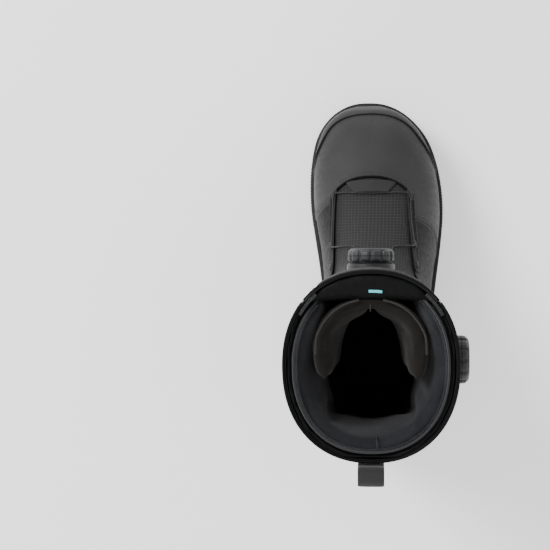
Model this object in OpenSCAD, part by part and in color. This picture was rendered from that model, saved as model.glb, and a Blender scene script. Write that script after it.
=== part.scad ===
// Right snowboard boot with a removable liner and two cable dials.
// +Z is up, the toe points to -Y, the lateral side is -X. The origin is on the ground at half the sole's length.

/* [Sole] */
// Length of the sole from toe to heel
sole_length = 305; // [298:1:312]
// Widest part of the forefoot across the sidewall
forefoot_width = 120; // [116:1:124]
// Height of the tread blocks
lug_h = 4.5; // [4:0.1:5]
// Lift of the sole's tip above the ground
toe_spring = 9; // [7:0.5:11]
// Thickness of the rubber sidewall
sidewall_t = 3; // [2.6:0.1:3]

/* [Upper] */
// Thickness of the outer shell
shell_t = 2.4; // [2:0.1:2.4]
// Height of the ankle axis above the ground
ankle_z = 116; // [112:1:118]
// Forward flex that the gap at the ankle leaves room for
flex_gap = 11.5; // [11:0.5:13]
// Width of the webbing pull loop
loop_w = 20; // [18:1:24]

/* [Liner] */
// Thickness of the liner around the foot
liner_foot_t = 4.8; // [4:0.2:5]
// Thickness of the liner around the leg
liner_leg_t = 12; // [10:0.5:12]
// Thickness of the liner's tongue
liner_tongue_t = 12; // [9:0.5:12]

/* [Dials] */
// Outer diameter of a dial
dial_d = 37; // [35:0.5:38]
// Overall height of a dial
dial_h = 12.6; // [12:0.1:13]
// Diameter of the lacing cable
cable_d = 1.2; // [0.9:0.1:1.2]

/* [Hidden] */
$fn = 48;

// Offset of the liner's outer face from the shell's outer face
liner_out = -5.2;
counter_out = -3.4;
counter_in = -3.85;
// Fine gap left between pieces that only lie against each other
gap = 0.3;
// Top of the tread blocks, clear of the outsole where it curves up
lug_top = lug_h - 0.35;
// Scale of the guide rows along and across the foot
ky = sole_length / 305;
kx = forefoot_width / 120;

// Sole outline from toe to heel: [y, lateral half-width, medial half-width]
OUTLINE = [
    [-152.5, 7, 12], [-149.5, 18, 22], [-143, 29.5, 32.5], [-133, 40.5, 42], [-119, 51, 49.5],
    [-100, 58.5, 53.5], [-78, 63.2, 55], [-55, 65, 54.2], [-30, 63.6, 50.6], [0, 60, 46],
    [30, 56.2, 43], [60, 52.5, 42], [90, 49, 41.8], [115, 45, 40.5], [132, 39.2, 36.8],
    [143, 31.5, 31], [149.5, 21, 22], [152.5, 9, 10]
];

// Upper, one row per section from the toe, over the instep and round the heel to the top of the shaft:
// [back/bottom y, z, front/top y, z, lateral, medial half-width, height share of the widest line,
//  lower, upper roundness]
ROWS = [
    [-149.2, 25, -149, 31.5, 7, 11.5, 0.55, 3, 2.4],
    [-143.5, 22.5, -143, 46, 22.4, 25.9, 0.4, 3.2, 2.3],
    [-134, 20.4, -133.5, 57, 34.8, 36.7, 0.36, 3.5, 2.3],
    [-121, 18.2, -120, 67, 44.9, 44.2, 0.33, 3.8, 2.2],
    [-100, 15.8, -97, 78, 54.6, 49.6, 0.3, 4, 2.2],
    [-75, 15, -71, 92, 60, 51.3, 0.26, 4, 2.2],
    [-45, 15, -44, 113, 61, 49.3, 0.24, 4, 2.1],
    [-10, 15, -22, 135, 57.6, 44.2, 0.24, 4, 2.1],
    [32, 15, -9, 155, 53.4, 41.8, 0.3, 3.6, 2.1],
    [80, 15, -3.5, 174, 51.5, 44.8, 0.4, 3, 2.1],
    [124, 17, -2, 190, 51, 47.8, 0.45, 2.5, 2.2],
    [146, 34, -1.6, 203, 51.5, 50.5, 0.5, 2.3, 2.2],
    [149.5, 62, -1.5, 214, 53, 53, 0.5, 2.2, 2.2],
    [147.2, 94, -1.5, 226, 55, 55, 0.5, 2.2, 2.2],
    [142.4, 134, -1.5, 240, 57.5, 57.5, 0.5, 2.2, 2.2],
    [138.8, 180, -1.5, 258, 60.5, 60.5, 0.5, 2.2, 2.2],
    [137.6, 228, -1, 280, 62.8, 62.8, 0.5, 2.2, 2.2],
    [141.5, 273, 0.5, 302, 64, 64, 0.5, 2.2, 2.2]
];
top_s = len(ROWS) - 1;

// Height of the sidewall's top edge along the foot
SIDEWALL_TOP = [
    [-153, 28], [-149, 28.2], [-143, 31.2], [-134, 32.8], [-120, 33.6], [-100, 33], [-60, 29], [60, 31],
        [120, 36], [153, 38]
];
ankle_y = 72;
ankle_front_slope = 15;

// Lace guides stand at these sections on both eyestays
GUIDES = [5.35, 6.85, 7.75];
// Half of the instep lace: [section, angle, height], from the middle of the throat to the tongue's dial
LACE_HALF = [
    [5.3, 0, 1.6], [5.3, 20, 1.4], [5.35, 33, 2.6], [5.7, 35.5, 2.4], [6.3, 35.5, 2.2], [6.8, 34, 2.2],
    [7.1, 26, 1.4], [7.5, 20, 1.4], [8.2, 17, 2], [8.9, 15.5, 2.4]
];
// Cable inside the shell from the side dial to the ankle harness
HARNESS_ROUTE = [
    [14.6, -96, -3.4], [14, -100, -3.4], [13.2, -96, -3.4], [12.4, -88, -3.4], [11.5, -84, -3.4],
    [10.6, -82, -3.4], [10.1, -82, -3.4]
];
// Dial places: back plane of each dial and its centre
tongue_dial_y = -4.6;
tongue_dial_z = 186;
side_dial_x = -62.4;
side_dial_y = 69;
side_dial_z = 215;
// Base of the shin part of the tongue, above the wedge at the ankle
tongue_base = function(p) p[2] - (160 + 0.25 * abs(p[0]));
// Pull loop: centre of its round end, radius, strap thickness and lowest point
loop_y = 151.4;
loop_z = 277;
loop_r = 7.4;
loop_t = 1.6;
loop_low = 243;
loop_tab_y = 139.6;

// Catmull-Rom spline through the rows of a table
function spline_row(rows, s) =
    let (
        last = len(rows) - 1,
        i = min(max(floor(s), 0), last - 1),
        u = s - i,
        a = rows[max(i - 1, 0)],
        b = rows[i],
        c = rows[i + 1],
        e = rows[min(i + 2, last)]
    )
    0.5 * (2 * b + (c - a) * u + (2 * a - 5 * b + 4 * c - e) * u * u + (3 * b - a - 3 * c + e) * u * u * u);

function mix(a, b, u) = a + (b - a) * u;
function clamp01(u) = min(max(u, 0), 1);
function smooth(u) = let (c = clamp01(u)) c * c * (3 - 2 * c);

// Height of the tread's lowest point: toe spring and heel bevel
function ground(y) =
    y < -80 ? toe_spring * pow((-80 - y) / 70, 2) :
    y > 110 ? 4 * pow((y - 110) / 42, 2) : 0;

// A point of the upper: section s, angle t round it (0 front/top, 180 back/bottom, + medial), d outwards
function skin(s, t, d = 0) =
    let (
        r = spline_row(ROWS, s),
        a = [r[0] * ky, r[1]],
        b = [r[2] * ky, r[3]],
        long = norm(b - a),
        dir = (b - a) / long,
        turn = (t + 900) % 360 - 180,
        c = cos(turn),
        power = 2 / (c < 0 ? r[7] : r[8]),
        reach = c < 0 ? -(r[6] * long + d) * pow(-c, power) : ((1 - r[6]) * long + d) * pow(c, power),
        at = a + dir * (r[6] * long + reach),
        half = (turn < 0 ? r[4] : r[5]) * kx + d,
        x = sign(turn) * half * pow(abs(sin(turn)), power)
    )
    [x, at[0], at[1]];

// Section where the line at angle t first rises through a surface
function s_at(t, d, above, lo, hi, steps = 13) =
    let (m = (lo + hi) / 2)
    steps == 0 ? m :
    above(skin(m, t, d)) > 0 ? s_at(t, d, above, lo, m, steps - 1) : s_at(t, d, above, m, hi, steps - 1);

// Surfaces where the foot part ends and the cuff begins, a wedge apart in front of the ankle
ankle_low = function(p)
    p[2] - (ankle_z + (p[1] < ankle_y ? (ankle_y - p[1]) * tan(ankle_front_slope) : 0));
ankle_high = function(p)
    p[2] - (ankle_z + gap + (p[1] < ankle_y ? (ankle_y - p[1]) * tan(ankle_front_slope + flex_gap) : 0));
feather = function(p) p[2] - (19.5 + ground(p[1]));
bumper_top = function(p) p[2] - (46 - 18 * clamp01((p[1] + 143) / 70));

function s_low(t, d) = s_at(t, d, ankle_low, 6, 15);
function s_high(t, d, lift = 0) = s_at(t, d, function(p) ankle_high(p) - lift, 6, 15.5);
function s_height(t, z) = s_at(t, 0, function(p) p[2] - z, 9, top_s);
// Seam between the toe part and the quarters
function s_seam(t) =
    let (a = abs(t))
    a < 32 ? 4.65 + 0.35 * pow(a / 32, 2) : 5 + (a - 32) * 0.016;
function s_quarter(t) = max(s_seam(t) + 0.02, s_at(t, 0, feather, 4, 12));

// Curved plate: place(u, v, k) gives [s, t, d], with k 0 on its outer face and 1 on its inner face
module plate(place, ns, nt) {
    grid = [for (k = [0, 1], i = [0:ns], j = [0:nt]) let (q = place(i / ns, j / nt, k)) skin(q[0], q[1], q[2])];
    inner = (ns + 1) * (nt + 1);
    function id(k, i, j) = k * inner + i * (nt + 1) + j;
    function two(a, b, c, e) = [[a, b, c], [a, c, e]];
    faces = [
        for (i = [0:ns - 1], j = [0:nt - 1])
            each concat(
                two(id(0, i, j), id(0, i + 1, j), id(0, i + 1, j + 1), id(0, i, j + 1)),
                two(id(1, i, j), id(1, i, j + 1), id(1, i + 1, j + 1), id(1, i + 1, j))
            ),
        for (i = [0:ns - 1])
            each concat(
                two(id(0, i + 1, 0), id(0, i, 0), id(1, i, 0), id(1, i + 1, 0)),
                two(id(0, i, nt), id(0, i + 1, nt), id(1, i + 1, nt), id(1, i, nt))
            ),
        for (j = [0:nt - 1])
            each concat(
                two(id(0, 0, j), id(0, 0, j + 1), id(1, 0, j + 1), id(1, 0, j)),
                two(id(0, ns, j + 1), id(0, ns, j), id(1, ns, j), id(1, ns, j + 1))
            )
    ];
    polyhedron(grid, faces);
}

// Closed sleeve: as a plate, but it runs all the way round the section
module sleeve(place, ns, nt) {
    grid = [for (k = [0, 1], i = [0:ns], j = [0:nt - 1]) let (q = place(i / ns, j / nt, k)) skin(q[0], q[1],
        q[2])];
    function id(k, i, j) = k * (ns + 1) * nt + i * nt + j % nt;
    function two(a, b, c, e) = [[a, b, c], [a, c, e]];
    faces = [
        for (i = [0:ns - 1], j = [0:nt - 1])
            each concat(
                two(id(0, i, j), id(0, i + 1, j), id(0, i + 1, j + 1), id(0, i, j + 1)),
                two(id(1, i, j), id(1, i, j + 1), id(1, i + 1, j + 1), id(1, i + 1, j))
            ),
        for (j = [0:nt - 1])
            each concat(
                two(id(0, 0, j), id(0, 0, j + 1), id(1, 0, j + 1), id(1, 0, j)),
                two(id(0, ns, j + 1), id(0, ns, j), id(1, ns, j), id(1, ns, j + 1))
            )
    ];
    polyhedron(grid, faces);
}

// Rectangle of the upper between two sections and two angles
module panel(s0, s1, t0, t1, d_out, d_in, ns, nt)
    plate(function(u, v, k) [mix(s0, s1, u), mix(t0, t1, v), k == 0 ? d_out : d_in], ns, nt);

// A point on the sole's edge: row u of the outline, side -1 lateral or 1 medial
function rim(u, side) = let (r = spline_row(OUTLINE, u)) [side * (side < 0 ? r[1] : r[2]) * kx, r[0] * ky];
function edge(u, side, inset) =
    let (run = rim(u + 0.02, side) - rim(u - 0.02, side), along = run / norm(run))
    rim(u, side) - side * inset * [along[1], -along[0]];

// Slab of the sole between two outline rows, with its faces at heights above the ground line
module slab(u0, u1, n, inset, z0, z1) {
    rows = [for (i = [0:n]) let (u = mix(u0, u1, i / n)) [edge(u, -1, inset), edge(u, 1, inset)]];
    points = [for (k = [0, 1], r = rows, p = r) [p[0], p[1], ground(p[1]) + (k == 0 ? z0 : z1)]];
    up = 2 * (n + 1);
    faces = [
        for (i = [0:n - 1])
            let (a = 2 * i)
            each [
                [a, a + 1, a + 3], [a, a + 3, a + 2],
                [up + a, up + a + 3, up + a + 1], [up + a, up + a + 2, up + a + 3],
                [a, a + 2, up + a + 2], [a, up + a + 2, up + a],
                [a + 1, up + a + 3, a + 3], [a + 1, up + a + 1, up + a + 3]
            ],
        [0, up, up + 1], [0, up + 1, 1],
        [up - 2, up - 1, 2 * up - 1], [up - 2, 2 * up - 1, 2 * up - 2]
    ];
    polyhedron(points, faces);
}

// Blocks that stand on the ground line, each given by four corners seen from above
module blocks(corners, z0, z1)
    for (q = corners)
        polyhedron(
            [for (z = [z0, z1], p = q) [p[0] * kx, p[1] * ky, ground(p[1] * ky) + z]],
            [
                [0, 1, 2], [0, 2, 3], [4, 6, 5], [4, 7, 6],
                for (i = [0:3]) let (j = (i + 1) % 4) each [[i, j + 4, j], [i, i + 4, j + 4]]
            ]
        );

// Row of n blocks between two lines, with grooves between them; slant leans the grooves
function column(y0, y1, n, groove, xa, xb, slant = 0) = [
    for (i = [0:n - 1])
        let (a = mix(y0, y1, i / n) + groove / 2, b = mix(y0, y1, (i + 1) / n) - groove / 2)
        [[xa(a), a], [xb(a + slant), a + slant], [xb(b + slant), b + slant], [xa(b), b]]
];

// Lines along the tread: lateral and medial borders, inserts and centre strip
lateral_edge = function(y) -lookup(y, [[-152, 2], [-145, 22], [-133, 37], [-119, 46], [-94, 57], [-60, 60],
    [-20, 57], [18, 50], [60, 46], [115, 41], [135, 32], [148, 16]]);
medial_edge = function(y) lookup(y, [[-152, 6], [-145, 26], [-133, 38], [-119, 45], [-94, 50], [-60, 50],
    [-20, 43], [18, 36], [60, 37], [115, 38], [135, 31], [148, 16]]);
lateral_groove = function(y) -lookup(y, [[-134, 26], [-100, 35], [-53, 36], [-10, 32.5], [18, 28.5],
    [60, 25], [140, 9]]);
medial_groove = function(y) lookup(y, [[-134, 24], [-100, 20], [-57, 17.5], [-23, 18.3], [18, 19.5],
    [60, 19], [140, 8]]);

/* Sole */
module outsole_forefoot() color("#45443f") slab(0.4, 9.55, 28, 4, lug_h + 0.1, 7.5);
module outsole_heel() color("#45443f") slab(11, 16.7, 18, 4, lug_h + 0.1, 7.5);
module arch_plate() color("#5c5b57") slab(9.65, 10.9, 8, 14, 6, 7.5);
module midsole() color("#3b3b39") slab(0.35, 16.7, 44, sidewall_t + gap, 7.6, 11.3);

module heel_cushion() color("#6f6f6a") panel(8.6, 10, 150, 210, 3.2, 0.5, 8, 8);

module lasting_board() color("#8c8674") panel(0.7, 8.5, 146, 214, 3.2, 0.5, 16, 5);

module sidewall() color("#3a3a3c") {
    n = 72;
    last = len(OUTLINE) - 1;
    loop = [for (i = [0:n - 1]) i < n / 2 ? [last * i / (n / 2 - 1),
        -1] : [last * (n - 1 - i) / (n / 2 - 1), 1]];
    points = [
        for (q = loop)
            let (a = edge(q[0], q[1], 0), b = edge(q[0], q[1], sidewall_t),
                top = lookup(a[1] / ky, SIDEWALL_TOP))
            each [
                [a[0], a[1], ground(a[1]) + 5], [a[0], a[1], top],
                [b[0], b[1], top], [b[0], b[1], ground(a[1]) + 5]
            ]
    ];
    faces = [
        for (i = [0:n - 1], k = [0:3])
            let (a = 4 * i, b = 4 * ((i + 1) % n), m = (k + 1) % 4)
            each [[a + k, b + m, b + k], [a + k, a + m, b + m]]
    ];
    polyhedron(points, [for (f = faces) [f[2], f[1], f[0]]]);
}

module tread_centre() color("#45443f") {
    rung_l = function(y) lateral_groove(y) + 10;
    rung_r = function(y) medial_groove(y) - 9;
    border_l = function(y) lateral_groove(y) + 7.5;
    border_r = function(y) medial_groove(y) - 6.5;
    blocks(column(-128.5, 14, 6.5, 3.6, rung_l, rung_r, 2), 0, lug_top);
    blocks(column(-126, 14, 7, 1.2, function(y) lateral_groove(y) + 1.5, border_l), 0, lug_top);
    blocks(column(-130, 14, 7, 1.2, border_r, function(y) medial_groove(y) - 1.5), 0, lug_top);
}
module tread_lateral() color("#45443f")
    blocks(
        concat(
            column(-132, -94, 2, 3, lateral_edge, lateral_groove, 4),
            column(-92, -14, 5, 3, lateral_edge, function(y) lateral_edge(y) + 9, 3),
            column(-12, 12, 1, 3, lateral_edge, lateral_groove, 3)
        ), 0, lug_top
    );
module tread_medial() color("#45443f")
    blocks(
        concat(
            column(-136, -118, 1, 3, medial_groove, medial_edge, -4),
            column(-112, -30, 5, 3, function(y) medial_edge(y) - 10, medial_edge, -4),
            column(-26, 12, 2, 3, medial_groove, medial_edge, -4)
        ), 0, lug_top
    );
module toe_bars() color("#45443f")
    for (y = [-150, -145.5, -141])
        blocks([[[lateral_edge(y) * 0.8, y], [medial_edge(y) * 0.8, y], [medial_edge(y) * 0.8, y + 2.6],
            [lateral_edge(y) * 0.8, y + 2.6]]], 1.6, lug_top);
module tread_heel_centre() color("#45443f") {
    blocks(column(78, 92, 2, 3, function(y) lateral_groove(y) + 4, function(y) medial_groove(y) - 4),
        0, lug_top);
    blocks(column(107, 145, 4, 4, function(y) lateral_groove(y) + 2, function(y) medial_groove(y) - 2),
        0, lug_top);
}
module tread_heel_lateral() color("#45443f")
    blocks(column(62, 144, 6, 3, lateral_edge, function(y) lateral_edge(y) + 8, 3), 0, lug_top);
module tread_heel_medial() color("#45443f")
    blocks(column(66, 146, 6, 3, function(y) medial_edge(y) - 8, medial_edge, -3), 0, lug_top);

module insert_forefoot_lateral() color("#e0a04b")
    blocks(column(-88, -20, 3, 1.2, function(y) lateral_edge(y) + 11, function(y) lateral_groove(y) - 1, 2),
        0.3, lug_top);
module insert_forefoot_medial() color("#e0a04b")
    blocks(column(-112, -30, 4, 1.2, function(y) medial_groove(y) + 2.5, function(y) medial_edge(y) - 12,
        -2), 0.3, lug_top);
module insert_heel_lateral() color("#e0a04b")
    blocks(column(66, 140, 4, 1.2, function(y) lateral_edge(y) + 10, function(y) lateral_groove(y) - 0.5,
        2), 0.3, lug_top);
module insert_heel_medial() color("#e0a04b")
    blocks(column(71, 138, 4, 1.2, function(y) medial_groove(y) + 1, function(y) medial_edge(y) - 10, -2),
        0.3, lug_top);
module heel_window() color("#7ee6ea")
    translate([-0.5, 99.5, lug_h - 1.5])
        linear_extrude(1.5)
            intersection() {
                circle(d = 17);
                translate([-9, -5.5]) square([18, 14]);
            }

module toe_bumper() color("#353537")
    plate(
        function(u, v, k)
            let (t = mix(-88, 88, v))
            [mix(0, s_at(t, 0, bumper_top, 0.3, 7), u), t, k == 0 ? 2.2 : 0.6],
        9, 26
    );

/* Upper on the foot */
module vamp() color("#515254")
    plate(function(u, v, k) let (t = mix(-112, 112, v)) [mix(0, s_seam(t), u), t, k == 0 ? 0 : -shell_t],
        11, 26);
module quarter(t0, t1)
    plate(
        function(u, v, k)
            let (d = k == 0 ? 0 : -shell_t, t = mix(t0, t1, v))
            [mix(s_quarter(t), s_low(t, d), u), t, d],
        17, 36
    );
module quarter_lateral() color("#3d3e3f") quarter(-179.8, -36);
module quarter_medial() color("#3d3e3f") quarter(36, 179.8);

// Stiffener sewn between shell and liner round the heel
module heel_counter() color("#27282a")
    plate(
        function(u, v, k) let (t = mix(130, 230, v)) [mix(s_at(t, 0, feather, 4, 12) + 0.4, 13, u),
            t, k == 0 ? counter_out : counter_in],
        16, 20
    );
// Moulded cup outside the heel, above the sidewall
module heel_cup() color("#323335")
    plate(
        function(u, v, k)
            let (t = mix(142, 218, v), low = s_at(t, 0, function(p) p[2] - 39.5, 9, 14))
            [mix(low, 12.9, u), t, k == 0 ? 1.9 : gap],
        8, 12
    );
module eyestay(t0, t1)
    plate(function(u, v, k) let (t = mix(t0, t1, v)) [mix(5.08, s_low(t, 0) - 0.15, u),
        t, k == 0 ? 1.7 : 0.2], 12, 3);
module eyestay_lateral() color("#2d2e30") eyestay(-44, -37);
module eyestay_medial() color("#2d2e30") eyestay(37, 44);

module instep_tongue() color("#464648")
    plate(
        function(u, v, k)
            let (d = k == 0 ? -2.8 : -4, t = mix(-44, 44, v))
            [mix(4.2 + 0.0003 * t * t, s_low(t, d), u), t, d],
        9, 12
    );
module throat_guide() color("#333436")
    plate(
        function(u, v, k)
            let (half = mix(24, 15, u), t = mix(-half, half, v))
            [mix(4.78 + 0.0002 * t * t, 5.1, u), t, k == 0 ? 0.9 : -2.4],
        3, 12
    );
module lace_guides() color("#252628")
    for (side = [-1, 1], s = GUIDES)
        panel(s - 0.16, s + 0.16, side * 40 - 3.4, side * 40 + 3.4, 3.6, 1.9, 2, 2);

module harness(t0, t1)
    plate(
        function(u, v, k) let (t = mix(t0, t1, v), top = s_low(t, 0) - 0.5) [mix(top - 1.2, top, u),
            t, k == 0 ? -2.9 : -4],
        5, 8
    );
module harness_lateral() color("#2a2b2d") harness(-112, -50);
module harness_medial() color("#2a2b2d") harness(50, 112);

/* Liner */
module liner_toe() color("#313136")
    sleeve(function(u, v, k) [mix(1, 4.95, u), mix(-180, 180, v),
        k == 0 ? liner_out : liner_out - liner_foot_t], 6, 22);
module liner_foot() color("#313136")
    plate(
        function(u, v, k)
            let (d = k == 0 ? liner_out : liner_out - liner_foot_t, t = mix(31, 329, v))
            [mix(5, s_low(t, d), u), t, d],
        18, 24
    );
module liner_instep() color("#3a3833")
    plate(
        function(u, v, k)
            let (d = k == 0 ? liner_out : liner_out - liner_foot_t, t = mix(-30.5, 30.5, v))
            [mix(5, s_low(t, d), u), t, d],
        10, 10
    );
module footbed() color("#4a4d52")
    panel(1.9, 9.4, 148, 212, liner_out - liner_foot_t - 0.9, liner_out - liner_foot_t - 3.7, 16, 5);

// The leg part of the liner grows from the foot's thickness to its own above the ankle
function leg_d(s, t0, t1) = mix(t0, t1, smooth((s - 11.5) / 3.5));
module liner_cuff() color("#313136")
    plate(
        function(u, v, k)
            let (
                low_d = k == 0 ? liner_out : liner_out - liner_foot_t,
                top_d = k == 0 ? -7 : -7 - liner_leg_t,
                t = mix(33, 333, v),
                s = mix(s_high(t, low_d, 1), top_s + 0.25, u)
            )
            [s, t, leg_d(s, low_d, top_d)],
        9, 24
    );
module liner_tongue() color("#3b3631")
    plate(
        function(u, v, k)
            let (
                low_d = k == 0 ? liner_out - liner_foot_t - 0.6 : liner_out - 0.6 - liner_foot_t - 0.6 * liner_tongue_t,
                top_d = k == 0 ? -8.3 - liner_leg_t : -8.3 - liner_leg_t - liner_tongue_t,
                t = mix(-104, 104, v),
                s = mix(s_high(t, low_d, 1), top_s + 0.5, u)
            )
            [s, t, leg_d(s, low_d, top_d)],
        9, 18
    );
module ankle_pads() color("#2b2b2e")
    for (t = [-142, 114])
        panel(13.1, 14.1, t, t + 28, -3, -4.4, 3, 6);

/* Cuff */
module cuff(t0, t1)
    plate(
        function(u, v, k)
            let (d = k == 0 ? 0 : -shell_t, t = mix(t0, t1, v))
            [mix(s_high(t, d), top_s, u), t, d],
        8, 18
    );
module cuff_lateral() color("#37383a") cuff(-179.8, -49.5);
module cuff_medial() color("#37383a") cuff(49.5, 179.8);
module backstay() color("#2c2d2f") {
    panel(13.7, 16.9, 169, 191, 1.7, 0.2, 8, 4);
    // Sewn tab that carries the pull loop
    translate([-loop_w / 2, loop_tab_y, loop_low - 8]) cube([loop_w, loop_y - loop_r - loop_tab_y - 1.3, 12]);
}
module wing(t0, t1)
    plate(
        function(u, v, k)
            let (t = mix(t0, t1, v))
            [mix(s_height(t, 190), s_height(t, 252), u), t, k == 0 ? 2.2 : 0.2],
        6, 8
    );
module wing_lateral() color("#333436") wing(-80, -54);
module wing_medial() color("#333436") wing(54, 90);

module upper_tongue() color("#3c3d3f")
    plate(
        function(u, v, k)
            let (d = k == 0 ? 0 : -shell_t, t = mix(-45.5, 45.5, v))
            [mix(s_at(t, d, tongue_base, 6, 16), top_s + 0.12, u), t, d],
        9, 12
    );

// Webbing loop behind the collar, seen from the side as a drop
module pull_loop() color("#38383a")
    translate([-loop_w / 2, 0, 0])
        rotate([90, 0, 90])
            linear_extrude(loop_w)
                difference() {
                    loop_drop(0);
                    loop_drop(loop_t);
                }
module loop_drop(inset)
    polygon(concat(
        [for (a = [-30:15:180]) [loop_y + (loop_r - inset) * cos(a), loop_z + (loop_r - inset) * sin(a)]],
        [[loop_y - loop_r + inset, loop_low + 2 * inset],
            [loop_y - loop_r + 3.2 - inset / 2, loop_low + inset / 2]]
    ));

/* Cables: swept tube along [s, t, d] points of the upper */
module cable(route, r, sides = 8) {
    rows = [for (i = [0:(len(route) - 1) * 3]) spline_row(route, i / 3)];
    line = [for (q = rows) skin(q[0], q[1], q[2])];
    out = [for (q = rows) skin(q[0], q[1], q[2] + 1) - skin(q[0], q[1], q[2])];
    last = len(line) - 1;
    points = [
        for (i = [0:last])
            let (
                along = line[min(i + 1, last)] - line[max(i - 1, 0)],
                f = along / norm(along),
                up = out[i] - f * (f * out[i]),
                n = up / norm(up),
                b = cross(f, n)
            )
            for (j = [0:sides - 1])
                line[i] + r * (n * cos(360 * j / sides) + b * sin(360 * j / sides))
    ];
    polyhedron(
        points,
        concat(
            [[for (j = [0:sides - 1]) j]],
            [[for (j = [sides - 1:-1:0]) last * sides + j]],
            [
                for (i = [0:last - 1], j = [0:sides - 1])
                    let (a = i * sides + j, b = i * sides + (j + 1) % sides)
                    each [[a, a + sides, b + sides], [a, b + sides, b]]
            ]
        )
    );
}
module instep_lace() color("#1d1d1f")
    for (side = [-1, 1])
        cable([for (q = LACE_HALF) [q[0], side * q[1], q[2]]], cable_d / 2);
module harness_cable() color("#1d1d1f") cable(HARNESS_ROUTE, cable_d / 2 - 0.15);

/* Dials: built round +Z with the base at 0 */
module dial_housing()
    rotate_extrude()
        polygon([[1.6, 0], [15, 0], [15, 6], [13.2, 6], [13.2, 1.5], [2.6, 1.5], [2.6, 6.4], [1.6, 6.4]]);
module dial_spool()
    rotate_extrude()
        polygon([[2.65, 1.8], [10, 1.8], [10, 2.6], [7, 3], [7, 4.4], [10, 4.8], [10, 5.3], [2.65, 5.3]]);
module dial_pawls() {
    difference() {
        cylinder(h = 1.4, r = 11.6);
        translate([0, 0, -1]) cylinder(h = 4, r = 3.7);
    }
    for (a = [0:60:300]) rotate(a) translate([11, -1.2, 0]) cube([1.9, 2.4, 1.4]);
}
module dial_knob()
    rotate_extrude()
        polygon([[0, dial_h - 1.8], [13.1, dial_h - 1.8], [15.4, dial_h - 3], [15.4, 2.4], [16.8, 2.4],
                 [16.8, dial_h - 1.4], [15.4, dial_h], [0, dial_h]]);
module dial_grip()
    difference() {
        rotate_extrude()
            polygon([[16.8, 2.8], [dial_d / 2, 3.6], [dial_d / 2, dial_h - 2.4], [16.8, dial_h - 1.5]]);
        for (a = [0:30:330]) rotate(a) translate([dial_d / 2 + 0.7, 0, 0]) cylinder(h = 20, r = 1.5);
    }
module dial_screw() {
    translate([0, 0, 0.2]) cylinder(h = 6.8, r = 1.6);
    translate([0, 0, 6.7]) cylinder(h = 1.5, r = 3.2);
}
module at_tongue_dial() translate([0, tongue_dial_y, tongue_dial_z]) rotate([90, 0, 0]) children();
module at_side_dial() translate([side_dial_x, side_dial_y, side_dial_z]) rotate([0, -90, 0]) children();

module tongue_dial_housing() color("#2a2b2d") at_tongue_dial() dial_housing();
module tongue_dial_spool() color("#77797c") at_tongue_dial() dial_spool();
module tongue_dial_pawls() color("#8a8c90") at_tongue_dial() translate([0, 0, 5.7]) dial_pawls();
module tongue_dial_knob() color("#47484b") at_tongue_dial() dial_knob();
module tongue_dial_grip() color("#2b2c2e") at_tongue_dial() dial_grip();
module tongue_dial_screw() color("#9a9ca0") at_tongue_dial() dial_screw();
module side_dial_housing() color("#2a2b2d") at_side_dial() dial_housing();
module side_dial_spool() color("#77797c") at_side_dial() dial_spool();
module side_dial_pawls() color("#8a8c90") at_side_dial() translate([0, 0, 5.7]) dial_pawls();
module side_dial_knob() color("#47484b") at_side_dial() dial_knob();
module side_dial_grip() color("#2b2c2e") at_side_dial() dial_grip();
module side_dial_screw() color("#9a9ca0") at_side_dial() dial_screw();

outsole_forefoot();
outsole_heel();
tread_centre();
tread_lateral();
tread_medial();
toe_bars();
tread_heel_centre();
tread_heel_lateral();
tread_heel_medial();
insert_forefoot_lateral();
insert_forefoot_medial();
insert_heel_lateral();
insert_heel_medial();
heel_window();
arch_plate();
midsole();
heel_cushion();
lasting_board();
sidewall();
toe_bumper();
vamp();
quarter_lateral();
quarter_medial();
heel_counter();
heel_cup();
eyestay_lateral();
eyestay_medial();
instep_tongue();
throat_guide();
lace_guides();
harness_lateral();
harness_medial();
liner_toe();
liner_foot();
liner_instep();
footbed();
cuff_lateral();
cuff_medial();
backstay();
wing_lateral();
wing_medial();
liner_cuff();
liner_tongue();
ankle_pads();
pull_loop();
upper_tongue();
instep_lace();
harness_cable();
tongue_dial_housing();
tongue_dial_spool();
tongue_dial_pawls();
tongue_dial_knob();
tongue_dial_grip();
tongue_dial_screw();
side_dial_housing();
side_dial_spool();
side_dial_pawls();
side_dial_knob();
side_dial_grip();
side_dial_screw();
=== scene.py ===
import math

import bmesh
import bpy
import numpy as np
from mathutils import Matrix, Vector


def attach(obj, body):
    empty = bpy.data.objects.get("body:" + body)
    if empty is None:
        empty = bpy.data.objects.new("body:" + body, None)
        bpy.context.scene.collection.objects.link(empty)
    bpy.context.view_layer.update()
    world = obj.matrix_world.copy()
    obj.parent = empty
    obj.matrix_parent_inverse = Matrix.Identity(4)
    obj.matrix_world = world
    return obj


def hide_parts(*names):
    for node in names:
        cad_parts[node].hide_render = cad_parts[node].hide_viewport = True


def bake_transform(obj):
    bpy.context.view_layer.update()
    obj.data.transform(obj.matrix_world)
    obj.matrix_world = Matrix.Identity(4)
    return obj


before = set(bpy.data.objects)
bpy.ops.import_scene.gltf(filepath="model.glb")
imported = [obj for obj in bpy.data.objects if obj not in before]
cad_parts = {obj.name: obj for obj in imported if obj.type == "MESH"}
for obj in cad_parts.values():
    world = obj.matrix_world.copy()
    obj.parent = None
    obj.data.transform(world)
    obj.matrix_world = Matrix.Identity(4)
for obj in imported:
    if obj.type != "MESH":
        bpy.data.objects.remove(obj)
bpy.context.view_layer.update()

MM = 0.001

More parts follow.
